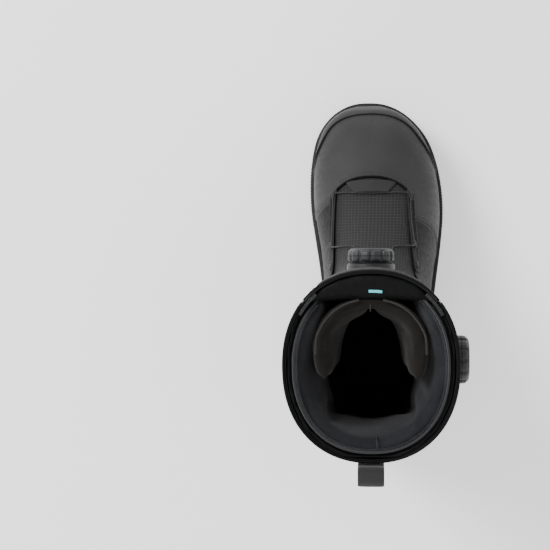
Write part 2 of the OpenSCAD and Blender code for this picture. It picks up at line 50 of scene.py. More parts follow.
# ---------------------------------------------------------------- the boot's guide tables, in millimetres
# Sole outline from toe to heel: y, lateral half-width, medial half-width
OUTLINE = np.array([
    [-152.5, 7, 12], [-149.5, 18, 22], [-143, 29.5, 32.5], [-133, 40.5, 42], [-119, 51, 49.5],
    [-100, 58.5, 53.5], [-78, 63.2, 55], [-55, 65, 54.2], [-30, 63.6, 50.6], [0, 60, 46],
    [30, 56.2, 43], [60, 52.5, 42], [90, 49, 41.8], [115, 45, 40.5], [132, 39.2, 36.8],
    [143, 31.5, 31], [149.5, 21, 22], [152.5, 9, 10]
])
# Sections of the upper from the toe to the top of the shaft: back/bottom y, z, front/top y, z,
# lateral and medial half-width, height share of the widest line, lower and upper roundness
ROWS = np.array([
    [-149.2, 25, -149, 31.5, 7, 11.5, 0.55, 3, 2.4],
    [-143.5, 22.5, -143, 46, 22.4, 25.9, 0.4, 3.2, 2.3],
    [-134, 20.4, -133.5, 57, 34.8, 36.7, 0.36, 3.5, 2.3],
    [-121, 18.2, -120, 67, 44.9, 44.2, 0.33, 3.8, 2.2],
    [-100, 15.8, -97, 78, 54.6, 49.6, 0.3, 4, 2.2],
    [-75, 15, -71, 92, 60, 51.3, 0.26, 4, 2.2],
    [-45, 15, -44, 113, 61, 49.3, 0.24, 4, 2.1],
    [-10, 15, -22, 135, 57.6, 44.2, 0.24, 4, 2.1],
    [32, 15, -9, 155, 53.4, 41.8, 0.3, 3.6, 2.1],
    [80, 15, -3.5, 174, 51.5, 44.8, 0.4, 3, 2.1],
    [124, 17, -2, 190, 51, 47.8, 0.45, 2.5, 2.2],
    [146, 34, -1.6, 203, 51.5, 50.5, 0.5, 2.3, 2.2],
    [149.5, 62, -1.5, 214, 53, 53, 0.5, 2.2, 2.2],
    [147.2, 94, -1.5, 226, 55, 55, 0.5, 2.2, 2.2],
    [142.4, 134, -1.5, 240, 57.5, 57.5, 0.5, 2.2, 2.2],
    [138.8, 180, -1.5, 258, 60.5, 60.5, 0.5, 2.2, 2.2],
    [137.6, 228, -1, 280, 62.8, 62.8, 0.5, 2.2, 2.2],
    [141.5, 273, 0.5, 302, 64, 64, 0.5, 2.2, 2.2]
])
TOP_S = len(ROWS) - 1
SIDEWALL_TOP = np.array([
    [-153, 28], [-149, 28.2], [-143, 31.2], [-134, 32.8], [-120, 33.6], [-100, 33], [-60, 29], [60, 31],
    [120, 36], [153, 38]
])
ANKLE_Y, ANKLE_Z = 72, 116
TOE_SPRING = 9


# ---------------------------------------------------------------- the boot's surface
def spline(rows, s):
    """Catmull-Rom spline through a table's rows at s, where s may be an array."""
    s = np.asarray(s, float)
    last = len(rows) - 1
    i = np.clip(np.floor(s).astype(int), 0, last - 1)
    u = (s - i)[..., None]
    a, b, c, e = (rows[np.clip(i + k, 0, last)] for k in (-1, 0, 1, 2))
    return 0.5 * (2 * b + (c - a) * u + (2 * a - 5 * b + 4 * c - e) * u**2 + (3 * b - a - 3 * c + e) * u**3)


def mix(a, b, u):
    return a + (b - a) * u


def smooth(u):
    c = np.clip(u, 0, 1)
    return c * c * (3 - 2 * c)


def ground(y):
    """Height of the tread's lowest point: toe spring and heel bevel."""
    y = np.asarray(y, float)
    toe = TOE_SPRING * (np.minimum(y + 80, 0) / 70) ** 2
    heel = 4 * (np.maximum(y - 110, 0) / 42) ** 2
    return toe + heel


def skin(s, t, d=0.0):
    """Points of the upper in millimetres: section s, angle t round it, d outwards."""
    s, t, d = np.broadcast_arrays(np.asarray(s, float), np.asarray(t, float), np.asarray(d, float))
    r = spline(ROWS, s)
    a, b = r[..., 0:2], r[..., 2:4]
    long = np.linalg.norm(b - a, axis=-1)
    along = (b - a) / long[..., None]
    turn = (t + 900) % 360 - 180
    c, q = np.cos(np.radians(turn)), np.abs(np.sin(np.radians(turn)))
    power = 2 / np.where(c < 0, r[..., 7], r[..., 8])
    low, high = r[..., 6] * long + d, (1 - r[..., 6]) * long + d
    reach = np.where(c < 0, -low, high) * np.abs(c) ** power
    at = a + along * (r[..., 6] * long + reach)[..., None]
    half = np.where(turn < 0, r[..., 4], r[..., 5]) + d
    return np.stack([np.sign(turn) * half * q**power, at[..., 0], at[..., 1]], -1)


def s_at(t, d, above, lo, hi):
    """Section where the line at angle t first rises through a surface."""
    t = np.asarray(t, float)
    lo, hi = np.full(t.shape, float(lo)), np.full(t.shape, float(hi))
    for _ in range(18):
        m = (lo + hi) / 2
        up = above(skin(m, t, d)) > 0
        lo, hi = np.where(up, lo, m), np.where(up, m, hi)
    return (lo + hi) / 2


def ankle_surface(slope, lift=0.0):
    """Height above the surface through the ankle axis that rises forwards at that slope."""
    rise = math.tan(math.radians(slope))
    return lambda p: p[..., 2] - (ANKLE_Z + lift + np.maximum(ANKLE_Y - p[..., 1], 0) * rise)


def height_surface(z):
    return lambda p: p[..., 2] - z - ground(p[..., 1])


def s_low(t, d=0.0):
    return s_at(t, d, ankle_surface(15), 6, 15)


def s_high(t, d=0.0):
    return s_at(t, d, ankle_surface(26.5, 0.3), 6, 15.5)


def s_height(t, z):
    return s_at(t, 0, lambda p: p[..., 2] - z, 9, TOP_S)


# ---------------------------------------------------------------- mesh helpers
def new_object(name, verts, faces, material, uvs=None, smooth_angle=50):
    """A mesh object from vertices in millimetres; uvs holds one pair per vertex, in metres."""
    mesh = bpy.data.meshes.new(name)
    mesh.from_pydata([tuple(v) for v in np.asarray(verts) * MM], [], [tuple(f) for f in faces])
    if uvs is not None:
        layer = mesh.uv_layers.new(name="UVMap")
        corner = np.empty(len(mesh.loops), int)
        mesh.loops.foreach_get("vertex_index", corner)
        layer.data.foreach_set("uv", np.asarray(uvs, float)[corner].ravel())
    obj = bpy.data.objects.new(name, mesh)
    bpy.context.scene.collection.objects.link(obj)
    mesh.materials.append(material)
    mesh.validate()
    shade(obj, smooth_angle)
    return obj


def shade(obj, angle=50):
    """Smooth shading with edges sharper than angle left crisp."""
    mesh = obj.data
    mesh.polygons.foreach_set("use_smooth", [True] * len(mesh.polygons))
    bm = bmesh.new()
    bm.from_mesh(mesh)
    bmesh.ops.recalc_face_normals(bm, faces=bm.faces)
    limit = math.radians(angle)
    for e in bm.edges:
        e.smooth = not (len(e.link_faces) == 2 and e.calc_face_angle(0) > limit)
    bm.to_mesh(mesh)
    bm.free()


def even_rows(grid, n):
    """Each row of a dense grid of points, resampled to n + 1 points evenly along its length."""
    out = np.empty((len(grid), n + 1, grid.shape[-1]))
    for i, row in enumerate(grid):
        step = np.linalg.norm(np.diff(row[:, :3], axis=0), axis=1)
        along = np.concatenate([[0], np.cumsum(step)])
        want = np.linspace(0, along[-1], n + 1)
        for k in range(grid.shape[-1]):
            out[i, :, k] = np.interp(want, along, row[:, k])
    return out


def surface_grid(place, ns, nt):
    """Points, and their s and t, of a panel given by place(u, v) -> s, t, evenly spaced along each row."""
    u, v = np.meshgrid(np.linspace(0, 1, ns + 1), np.linspace(0, 1, nt * 5 + 1), indexing="ij")
    s, t = place(u, v)
    p = skin(s, t, 0)
    both = even_rows(np.concatenate([p, s[..., None], t[..., None]], -1), nt)
    return both[..., 3], both[..., 4]


def arc_uv(points):
    """Lengths along the rows and columns of a grid of points, in metres."""
    across = np.linalg.norm(np.diff(points, axis=1), axis=2)
    u = np.concatenate([np.zeros((len(points), 1)), np.cumsum(across, 1)], 1)
    u -= u[:, [u.shape[1] // 2]]
    down = np.linalg.norm(np.diff(points, axis=0), axis=2).mean(1)
    v = np.concatenate([[0], np.cumsum(down)])[:, None] * np.ones_like(u)
    return np.stack([u, v], -1) * MM


def plate(name, place, ns, nt, top, bottom, material, round_off=0.0):
    """Closed curved plate between offsets top and bottom (numbers or functions of u, v, s, t).
    round_off drops the outer face towards its rim, for a soft edge."""
    s, t = surface_grid(place, ns, nt)
    u, v = np.meshgrid(np.linspace(0, 1, ns + 1), np.linspace(0, 1, nt + 1), indexing="ij")
    d_top = top(u, v, s, t) if callable(top) else np.full(s.shape, float(top))
    d_low = bottom(u, v, s, t) if callable(bottom) else np.full(s.shape, float(bottom))
    if round_off:
        p = skin(s, t, 0)
        size_u = np.linalg.norm(np.diff(p, axis=0), axis=2).sum(0).mean()
        size_v = np.linalg.norm(np.diff(p, axis=1), axis=2).sum(1).mean()
        rim = np.minimum(np.minimum(u, 1 - u) * size_u, np.minimum(v, 1 - v) * size_v)
        x = np.clip(1 - rim / round_off, 0, 1)
        d_top = d_top - np.minimum(round_off, d_top - d_low) * 0.75 * (1 - np.sqrt(1 - x * x))
    outer, inner = skin(s, t, d_top), skin(s, t, d_low)
    verts = np.concatenate([outer.reshape(-1, 3), inner.reshape(-1, 3)])
    uv = arc_uv(outer).reshape(-1, 2)
    uvs = np.concatenate([uv, uv])
    w, half = nt + 1, (ns + 1) * (nt + 1)
    faces = []
    for i in range(ns):
        for j in range(nt):
            a = i * w + j
            faces.append((a, a + 1, a + w + 1, a + w))
            faces.append((half + a, half + a + w, half + a + w + 1, half + a + 1))
    rim = [j for j in range(nt)] + [i * w + nt for i in range(ns)]
    rim += [ns * w + j for j in range(nt, 0, -1)] + [i * w for i in range(ns, 0, -1)]
    for a, b in zip(rim, rim[1:] + rim[:1]):
        faces.append((b, a, half + a, half + b))
    return new_object(name, verts, faces, material, uvs)


def tube(name, path, radius, material, sides=10, caps=True, flat=1.0, up=None):
    """Round tube along points in millimetres; flat below 1 makes it a flat strap across its up vectors."""
    path = np.asarray(path, float)
    step = np.gradient(path, axis=0)
    f = step / np.linalg.norm(step, axis=1)[:, None]
    ref = np.asarray(up if up is not None else [[0, 0, 1]] * len(path), float)
    n = ref - f * (ref * f).sum(1)[:, None]
    n /= np.linalg.norm(n, axis=1)[:, None]
    b = np.cross(f, n)
    r = np.broadcast_to(np.asarray(radius, float), len(path))
    ang = np.linspace(0, 2 * math.pi, sides, endpoint=False)
    ring = n[:, None] * np.cos(ang)[:, None] * flat + b[:, None] * np.sin(ang)[:, None]
    verts = (path[:, None] + ring * r[:, None, None]).reshape(-1, 3)
    faces = []
    for i in range(len(path) - 1):
        for j in range(sides):
            a, c = i * sides + j, i * sides + (j + 1) % sides
            faces.append((a, c, c + sides, a + sides))
    if caps:
        faces.append(tuple(range(sides - 1, -1, -1)))
        faces.append(tuple((len(path) - 1) * sides + j for j in range(sides)))
    length = np.concatenate([[0], np.cumsum(np.linalg.norm(np.diff(path, axis=0), axis=1))]) * MM
    uvs = [(radius * MM * a if np.isscalar(radius) else a * MM,
        length[i]) for i in range(len(path)) for a in ang]
    return new_object(name, verts, faces, material, uvs)


class Collector:
    """Gathers many small closed solids into one mesh."""

    def __init__(self):
        self.verts, self.faces = [], []

    def add(self, verts, faces):
        base = len(self.verts)
        self.verts += [tuple(v) for v in verts]
        self.faces += [tuple(base + k for k in f) for f in faces]

    def loops(self, loops):
        """A closed solid from a stack of loops with the same number of points."""
        n = len(loops[0])
        verts = [p for loop in loops for p in loop]
        faces = [tuple(range(n - 1, -1, -1)), tuple((len(loops) - 1) * n + k for k in range(n))]
        for i in range(len(loops) - 1):
            for k in range(n):
                a, b = i * n + k, i * n + (k + 1) % n
                faces.append((a, b, b + n, a + n))
        self.add(verts, faces)

    def make(self, name, material, angle=35):
        return new_object(name, self.verts, self.faces, material, smooth_angle=angle)


def spline_points(points, per=6, closed=False):
    """Catmull-Rom curve through listed points."""
    pts = np.asarray(points, float)
    if closed:
        pts = np.concatenate([pts[-1:], pts, pts[:2]])
        s = np.arange(1, len(pts) - 2, 1 / per)
        return spline(pts, s)
    return spline(pts, np.linspace(0, len(pts) - 1, (len(pts) - 1) * per + 1))


def stitches(name, line, body, material, pitch=2.9, length=2.1, radius=0.28, lift=0.12):
    """Row of thread stitches along points [s, t, d] of the upper."""
    line = np.asarray(line, float)
    p = skin(line[:, 0], line[:, 1], line[:, 2] + lift)
    out = skin(line[:, 0], line[:, 1], line[:, 2] + 1) - skin(line[:, 0], line[:, 1], line[:, 2])
    along = np.concatenate([[0], np.cumsum(np.linalg.norm(np.diff(p, axis=0), axis=1))])
    box = Collector()
    for k in range(int(along[-1] / pitch)):
        a = (k + 0.5) * pitch
        ends = np.array([a - length / 2, a - length / 4, a + length / 4, a + length / 2])
        mid = np.stack([np.interp(ends, along, p[:, c]) for c in range(3)], -1)
        up = np.array([np.interp(a, along, out[:, c]) for c in range(3)])
        up /= np.linalg.norm(up)
        f = mid[-1] - mid[0]
        f /= np.linalg.norm(f)
        up -= f * up.dot(f)
        up /= np.linalg.norm(up)
        b = np.cross(f, up)
        ring = [(math.cos(x), math.sin(x)) for x in np.linspace(0, 2 * math.pi, 6, endpoint=False)]
        loops = []
        for q, r, low in zip(mid, (0.55, 1, 1, 0.55), (0.3, 0, 0, 0.3)):
            loops.append([q - up * low * radius + (up * x + b * y) * radius * r for x, y in ring])
        box.loops(loops)
    obj = box.make(name, material, 80)
    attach(obj, body)
    return obj


# ---------------------------------------------------------------- materials
class Finish:
    """A procedural material: base colour with soft variation, roughness and bump from its own nodes."""

    def __init__(self, name, rough, specular=0.4, **sockets):
        self.mat = bpy.data.materials.new(name)
        self.mat.use_nodes = True
        self.tree = self.mat.node_tree
        self.shader = self.tree.nodes["Principled BSDF"]
        self.shader.inputs["Roughness"].default_value = rough
        self.shader.inputs["Specular IOR Level"].default_value = specular
        for key, value in sockets.items():
            self.shader.inputs[key.replace("_", " ")].default_value = value
        coord = self.node("ShaderNodeTexCoord")
        self.object, self.uv = coord.outputs["Object"], coord.outputs["UV"]

    def node(self, kind, **settings):
        n = self.tree.nodes.new(kind)
        for key, value in settings.items():
            setattr(n, key, value)
        return n

    def put(self, value, socket):
        if isinstance(value, bpy.types.NodeSocket):
            self.tree.links.new(value, socket)
        else:
            socket.default_value = value

    def noise(self, size, detail=3.0, where=None, stretch=None):
        """Noise with features of that size in metres."""
        n = self.node("ShaderNodeTexNoise")
        self.put(self.scaled(where or self.object, stretch) if stretch else where or self.object,
            n.inputs["Vector"])
        n.inputs["Scale"].default_value = 1 / size
        n.inputs["Detail"].default_value = detail
        return n.outputs["Fac"]

    def cells(self, size, where=None):
        n = self.node("ShaderNodeTexVoronoi", feature="SMOOTH_F1")
        self.put(where or self.object, n.inputs["Vector"])
        n.inputs["Scale"].default_value = 1 / size
        return n.outputs["Distance"]

    def scaled(self, where, factors):
        n = self.node("ShaderNodeMapping")
        self.put(where, n.inputs["Vector"])
        n.inputs["Scale"].default_value = factors
        return n.outputs["Vector"]

    def turned(self, where, degrees):
        n = self.node("ShaderNodeMapping")
        self.put(where, n.inputs["Vector"])
        n.inputs["Rotation"].default_value = (0, 0, math.radians(degrees))
        return n.outputs["Vector"]

    def bands(self, period, axis="X", where=None, distort=0.0):
        """Sine bands of that period in metres."""
        n = self.node("ShaderNodeTexWave", bands_direction=axis)
        self.put(where or self.uv, n.inputs["Vector"])
        n.inputs["Scale"].default_value = math.pi / 10 / period
        n.inputs["Distortion"].default_value = distort
        return n.outputs["Fac"]

    def math(self, op, a, b=0.5):
        n = self.node("ShaderNodeMath", operation=op)
        self.put(a, n.inputs[0])
        self.put(b, n.inputs[1])
        return n.outputs[0]

    def ramp(self, value, low, high, out_low=0.0, out_high=1.0):
        n = self.node("ShaderNodeMapRange")
        self.put(value, n.inputs["Value"])
        for key, x in zip(("From Min", "From Max", "To Min", "To Max"), (low, high, out_low, out_high)):
            n.inputs[key].default_value = x
        return n.outputs["Result"]

    def blend(self, factor, a, b):
        n = self.node("ShaderNodeMix", data_type="RGBA")
        self.put(factor, n.inputs[0])
        self.put(a, n.inputs[6])
        self.put(b, n.inputs[7])
        return n.outputs[2]

    def colour(self, value):
        self.put(value, self.shader.inputs["Base Color"])
        return self

    def rough(self, value):
        self.put(value, self.shader.inputs["Roughness"])
        return self

    def bump(self, *layers):
        """Layers are (height socket, depth in metres), from coarse to fine."""
        last = None
        for height, depth in layers:
            n = self.node("ShaderNodeBump")
            n.inputs["Distance"].default_value = depth
            n.inputs["Strength"].default_value = 1.0
            self.put(height, n.inputs["Height"])
            if last:
                self.put(last, n.inputs["Normal"])
            last = n.outputs["Normal"]
        self.put(last, self.shader.inputs["Normal"])
        return self


def grey(value, tint=(1.0, 1.0, 1.0)):
    return (value * tint[0], value * tint[1], value * tint[2], 1.0)


def coated(name, low, high, tint, rough, grain=0.0011, depth=0.00005, mottle=0.03):
    """Matte coated synthetic leather: fine grain, faint cloudiness and scuffs."""
    f = Finish(name, rough, 0.15)
    cloud = f.noise(mottle, 4)
    f.colour(f.blend(f.ramp(cloud, 0.3, 0.7), grey(low, tint), grey(high, tint)))
    fine = f.noise(grain * 0.4, 2)
    f.rough(f.ramp(f.noise(0.004, 3), 0.35, 0.65, rough - 0.05, rough + 0.07))
    return f.bump((f.cells(grain), depth), (fine, depth * 0.5)).mat


def rubber(name, low, high, tint, rough, size=0.0008, depth=0.00004, specular=0.35):
    f = Finish(name, rough, specular)
    f.colour(f.blend(f.ramp(f.noise(0.02, 4), 0.3, 0.7), grey(low, tint), grey(high, tint)))
    f.rough(f.ramp(f.noise(0.0015, 3), 0.3, 0.7, rough - 0.06, rough + 0.08))
    return f.bump((f.noise(size, 3), depth)).mat


def moulded(name, low, high, tint, rough, specular=0.45):
    """Moulded plastic with a fine spark-eroded texture."""
    f = Finish(name, rough, specular)
    f.colour(f.blend(f.ramp(f.noise(0.008, 3), 0.35, 0.65), grey(low, tint), grey(high, tint)))
    f.rough(f.ramp(f.noise(0.0006, 2), 0.3, 0.7, rough - 0.05, rough + 0.05))
    return f.bump((f.noise(0.00035, 2), 0.000025)).mat


def ripstop(name, low, high, tint):
    """Plain fine weave with a raised square grid of thicker threads."""
    f = Finish(name, 0.72, 0.18)
    fine = f.math("MULTIPLY", f.bands(0.00062, "X"), f.bands(0.00062, "Y"))
    grid_u = f.ramp(f.bands(0.0031, "X"), 0.9, 0.985)
    grid_v = f.ramp(f.bands(0.0031, "Y"), 0.9, 0.985)
    grid = f.math("MAXIMUM", grid_u, grid_v)
    tone = f.math("ADD", f.math("MULTIPLY", fine, 0.35), f.math("MULTIPLY", grid, 0.65))
    f.colour(f.blend(tone, grey(low, tint), grey(high, tint)))
    f.rough(f.ramp(grid, 0, 1, 0.74, 0.6))
    return f.bump((grid, 0.00022), (fine, 0.00012)).mat


def knit(name, low, high, tint, pitch=0.0016, depth=0.0003, sheen=0.25):
    """Ribbed spacer knit: columns of small loops."""
    f = Finish(name, 0.85, 0.2, Sheen_Weight=sheen, Sheen_Roughness=0.5)
    ribs = f.bands(pitch, "X", distort=0.6)
    loops = f.bands(pitch * 0.8, "Y", f.turned(f.uv, 18), 0.8)
    cloth = f.math("MULTIPLY", ribs, loops)
    tone = f.math("ADD", f.math("MULTIPLY", cloth, 0.7), f.math("MULTIPLY", f.noise(0.012, 3), 0.5))
    f.colour(f.blend(tone, grey(low, tint), grey(high, tint)))
    return f.bump((cloth, depth), (f.noise(0.0004, 2), depth * 0.3)).mat


def brushed(name, low, high, tint, sheen=0.3):
    """Brushed lining with a short soft nap, which doesn't depend on UVs."""
    f = Finish(name, 0.92, 0.1, Sheen_Weight=sheen, Sheen_Roughness=0.6)
    nap = f.noise(0.0007, 4)
    f.colour(f.blend(f.ramp(f.math("ADD", f.math("MULTIPLY", nap, 0.5),
        f.math("MULTIPLY", f.noise(0.015, 3), 0.5)),
                            0.35, 0.65), grey(low, tint), grey(high, tint)))
    return f.bump((f.noise(0.005, 2), 0.0004), (nap, 0.00025)).mat


def twill(name, low, high, tint, pitch=0.0011, depth=0.00022):
    """Woven webbing: a fine herringbone along its length."""
    f = Finish(name, 0.75, 0.3, Sheen_Weight=0.15)
    diagonal = f.bands(pitch, "X", f.turned(f.uv, 35), 0.3)
    cross = f.bands(pitch * 1.3, "Y")
    cloth = f.math("MULTIPLY", diagonal, cross)
    f.colour(f.blend(cloth, grey(low, tint), grey(high, tint)))
    return f.bump((cloth, depth)).mat


def thread(name, value, tint):
    f = Finish(name, 0.6, 0.4, Sheen_Weight=0.1)
    f.colour(f.blend(f.noise(0.0006, 2), grey(value * 0.8, tint), grey(value * 1.2, tint)))
    return f.bump((f.noise(0.0003, 2), 0.00004)).mat


def gel(name, deep, bright, rough=0.32, glow=0.3):
    """Soft translucent rubber: saturated inside, its colour varying at random between a deep and a bright
    tone.
    """
    f = Finish(name, rough, 0.5, Subsurface_Weight=glow, Subsurface_Scale=0.002)
    f.shader.inputs["Subsurface Radius"].default_value = (1.0, 0.6, 0.3)
    f.colour(f.blend(f.ramp(f.noise(0.004, 3), 0.3, 0.7), deep, bright))
    f.rough(f.ramp(f.noise(0.001, 2), 0.3, 0.7, rough - 0.06, rough + 0.1))
    return f.bump((f.noise(0.0009, 2), 0.00003)).mat


def metal(name, value, rough):
    f = Finish(name, rough, 0.5, Metallic=1.0)
    f.colour(f.blend(f.noise(0.001, 2), grey(value * 0.85), grey(value)))
    return f.bump((f.noise(0.0004, 2), 0.00001)).mat


NEUTRAL, COOL, WARM = (1, 1, 1.03), (0.97, 1, 1.06), (1.1, 1.03, 0.9)
VAMP = coated("vamp_synthetic", 0.034, 0.041, NEUTRAL, 0.52)
QUARTER = coated("quarter_synthetic", 0.006, 0.009, NEUTRAL, 0.6)
CUFF = coated("cuff_synthetic", 0.007, 0.011, COOL, 0.58, 0.0014, 0.00007)
EDGE = coated("edge_binding", 0.0015, 0.003, COOL, 0.7, 0.0008, 0.00006)
RAND = rubber("sidewall_rubber", 0.012, 0.017, NEUTRAL, 0.58, 0.0008, 0.00004, 0.25)
TREAD = rubber("tread_rubber", 0.05, 0.066, WARM, 0.6)
POD = rubber("pod_rubber", 0.042, 0.052, WARM, 0.66)
FOAM = rubber("midsole_foam", 0.024, 0.032, WARM, 0.75, 0.0012, 0.00008)
ARCH = moulded("arch_plastic", 0.09, 0.115, WARM, 0.34, 0.5)
TRIM = moulded("moulded_trim", 0.005, 0.008, COOL, 0.5, 0.3)
DIAL = moulded("dial_plastic", 0.026, 0.036, COOL, 0.42, 0.35)
DIAL_BASE = moulded("dial_base", 0.011, 0.015, COOL, 0.45)
ACETAL = moulded("spool_acetal", 0.16, 0.2, NEUTRAL, 0.35)
GRIP = rubber("dial_grip", 0.012, 0.018, COOL, 0.62, 0.0005, 0.00004, 0.25)
RIPSTOP = ripstop("ripstop_panel", 0.022, 0.056, NEUTRAL)
GUSSET = knit("flex_gusset", 0.012, 0.03, COOL, 0.0022, 0.0004)
LINER = brushed("liner_lining", 0.01, 0.0185, (0.94, 0.97, 1.15), 0.08)
PAD = brushed("liner_tongue_lining", 0.005, 0.0095, (1.18, 1.0, 0.84), 0.06)
INSOLE = brushed("footbed_cover", 0.014, 0.024, COOL)
WEB = twill("pull_webbing", 0.013, 0.033, NEUTRAL)
STRAP = twill("harness_webbing", 0.014, 0.03, COOL)
CABLE = thread("lace_cable", 0.012, COOL)
STITCH = thread("stitch_thread", 0.026, NEUTRAL)
AMBER = gel("amber_grip", (0.5, 0.19, 0.03, 1), (0.78, 0.38, 0.1, 1))
# Darker amber for the grips' slot pieces: painted shade standing in for the shade of cut recesses
AMBER_SLOT_SHADE = gel("amber_slot_painted_shade", (0.16, 0.06, 0.01, 1), (0.24, 0.1, 0.03, 1))
TEAL = gel("teal_gel", (0.1, 0.62, 0.66, 1), (0.25, 0.82, 0.85, 1), 0.18, 0.2)
BOARD = rubber("lasting_board", 0.2, 0.26, WARM, 0.85, 0.001)
STEEL = metal("screw_steel", 0.55, 0.3)


# ---------------------------------------------------------------- placing and shaping pieces
FLEX = ("foot", "cuff", (0, 0.0679, 0.1107), (0, 0.0761, 0.1333))
SHELL_T = 2.4
LINER_OUT = -5.0


def fit(obj, where, nodes=()):
    """where is a body's name, which the piece is attached to, or a blend's bodies, start and end, for which
    the piece only gets its transform baked in; nodes are CAD parts to hide.
    """
    if isinstance(where, str):
        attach(obj, where)
    else:
        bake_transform(obj)
    if nodes:
        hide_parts(*nodes)
    return obj


def bake(obj):
    """Applies the object's modifiers to its mesh."""
    graph = bpy.context.evaluated_depsgraph_get()
    mesh = bpy.data.meshes.new_from_object(obj.evaluated_get(graph))
    obj.modifiers.clear()
    obj.data = mesh
    return obj


def points_of(mesh):
    co = np.empty(len(mesh.vertices) * 3)
    mesh.vertices.foreach_get("co", co)
    return co.reshape(-1, 3)


def puff(obj, pressure=4.0, voxel=0.005, cap=0.004):
    """Fills a padded piece by cloth simulation: even quads, pressure, capped travel, smoothing."""
    scene = bpy.context.scene
    remesh = obj.modifiers.new("even", "REMESH")
    remesh.mode, remesh.voxel_size = "VOXEL", voxel
    bake(obj)
    before = points_of(obj.data)
    cloth = obj.modifiers.new("fill", "CLOTH")
    rules = cloth.settings
    rules.quality, rules.mass = 5, 0.3
    rules.tension_stiffness = rules.compression_stiffness = 15
    rules.bending_stiffness = 2
    rules.use_pressure, rules.uniform_pressure_force = True, pressure
    rules.effector_weights.gravity = 0
    cloth.point_cache.frame_start, cloth.point_cache.frame_end = 1, 20
    for f in range(1, 21):
        scene.frame_set(f)
    graph = bpy.context.evaluated_depsgraph_get()
    after = points_of(obj.evaluated_get(graph).data)
    obj.modifiers.remove(cloth)
    scene.frame_set(1)
    travel = after - before
    far = np.linalg.norm(travel, axis=1, keepdims=True)
    after = before + travel * np.minimum(1, cap / np.maximum(far, 1e-9))
    obj.data.vertices.foreach_set("co", after.ravel())
    soften = obj.modifiers.new("soften", "SMOOTH")
    soften.factor, soften.iterations = 0.5, 5
    finer = obj.modifiers.new("finer", "SUBSURF")
    finer.levels = finer.render_levels = 1
    bake(obj)
    shade(obj, 180)
    return obj


def cut(obj, solids):
    """Takes the solids, given as a Collector, out of a piece."""
    tool = solids.make("cutter", obj.data.materials[0])
    mod = obj.modifiers.new("cut", "BOOLEAN")
    mod.object, mod.operation, mod.solver, mod.use_self = tool, "DIFFERENCE", "EXACT", True
    bake(obj)
    bpy.data.objects.remove(tool, do_unlink=True)
    shade(obj, 35)
    return obj


# ---------------------------------------------------------------- sole helpers
def outline_loop(n=260):
    """Points round the sole from the toe along the lateral side, with outward normals."""
    r = spline(OUTLINE, np.linspace(0, len(OUTLINE) - 1, 500))
    p = np.concatenate([np.stack([-r[:, 1], r[:, 0]], -1), np.stack([r[::-1, 2], r[::-1, 0]], -1)])
    p = np.concatenate([p, p[:1]])
    along = np.concatenate([[0], np.cumsum(np.linalg.norm(np.diff(p, axis=0), axis=1))])
    want = np.linspace(0, along[-1], n, endpoint=False)
    p = np.stack([np.interp(want, along, p[:, k]) for k in (0, 1)], -1)
    for _ in range(8):
        p = (np.roll(p, 1, 0) + 2 * p + np.roll(p, -1, 0)) / 4
    run = np.roll(p, -1, 0) - np.roll(p, 1, 0)
    run /= np.linalg.norm(run, axis=1, keepdims=True)
    return p, np.stack([-run[:, 1], run[:, 0]], -1)


LOOP, LOOP_OUT = outline_loop()


def ring_sweep(name, profile, material, angle=40):
    """A band round the sole; profile(y, k) gives its closed section as [out, z] pairs for loop point k."""
    sections = [profile(p[1], k) for k, p in enumerate(LOOP)]
    m, n = len(sections[0]), len(LOOP)
    length = np.concatenate([[0], np.cumsum(np.linalg.norm(np.diff(LOOP, axis=0), axis=1))]) * MM
    verts, uvs, faces = [], [], []
    for k in range(n):
        for out, z in sections[k]:
            q = LOOP[k] + LOOP_OUT[k] * out
            verts.append((q[0], q[1], z))
            uvs.append((length[k], (z + out) * MM))
    for k in range(n):
        for j in range(m):
            a, b = k * m, ((k + 1) % n) * m
            faces.append((a + j, a + (j + 1) % m, b + (j + 1) % m, b + j))
    return new_object(name, verts, faces, material, uvs, angle)


def shrink(p, d):
    """Counter-clockwise polygon moved inwards by d."""
    a = p - np.roll(p, 1, 0)
    b = np.roll(p, -1, 0) - p
    a /= np.linalg.norm(a, axis=1, keepdims=True)
    b /= np.linalg.norm(b, axis=1, keepdims=True)
    na, nb = np.stack([-a[:, 1], a[:, 0]], -1), np.stack([-b[:, 1], b[:, 0]], -1)
    m = na + nb
    m /= np.maximum((m * na).sum(1), 0.7)[:, None]
    return p + d * m


def rounded(p, r):
    """Polygon with its corners cut back and eased by about r."""
    out = []
    for k in range(len(p)):
        v, a, b = p[k], p[k - 1], p[(k + 1) % len(p)]
        la, lb = np.linalg.norm(a - v), np.linalg.norm(b - v)
        qa = v + (a - v) * min(r / la, 0.3)
        qb = v + (b - v) * min(r / lb, 0.3)
        out += [qa, 0.5 * v + 0.25 * (qa + qb), qb]
    return np.array(out)


def fine(p, step=7.0):
    """Polygon with long edges divided."""
    out = []
    for k in range(len(p)):
        a, b = p[k], p[(k + 1) % len(p)]
        n = max(1, int(math.ceil(np.linalg.norm(b - a) / step)))
        out += [a + (b - a) * i / n for i in range(n)]
    return np.array(out)


def lug(box, polygon, z0, z1, chamfer=0.7, corner=1.2, draft=0.4):
    """A tread block on the ground line: contact face at z0, root at z1."""
    p = np.array(polygon, float)
    area = (p[:, 0] * np.roll(p[:, 1], -1) - p[:, 1] * np.roll(p[:, 0], -1)).sum()
    p = p if area > 0 else p[::-1]
    p = fine(rounded(p, corner) if corner else p)
    loops = []
    for inset, z in ((chamfer, z0), (chamfer * 0.35, z0 + chamfer * 0.3), (0, z0 + chamfer), (-draft, z1)):
        q = shrink(p, inset)
        loops.append(np.concatenate([q, (ground(q[:, 1]) + z)[:, None]], 1))
    box.loops(loops)


def follow(table):
    """x along a border given as (x, y) points."""
    t = np.array(sorted(table, key=lambda q: q[1]), float)
    return lambda y: np.interp(y, t[:, 1], t[:, 0])


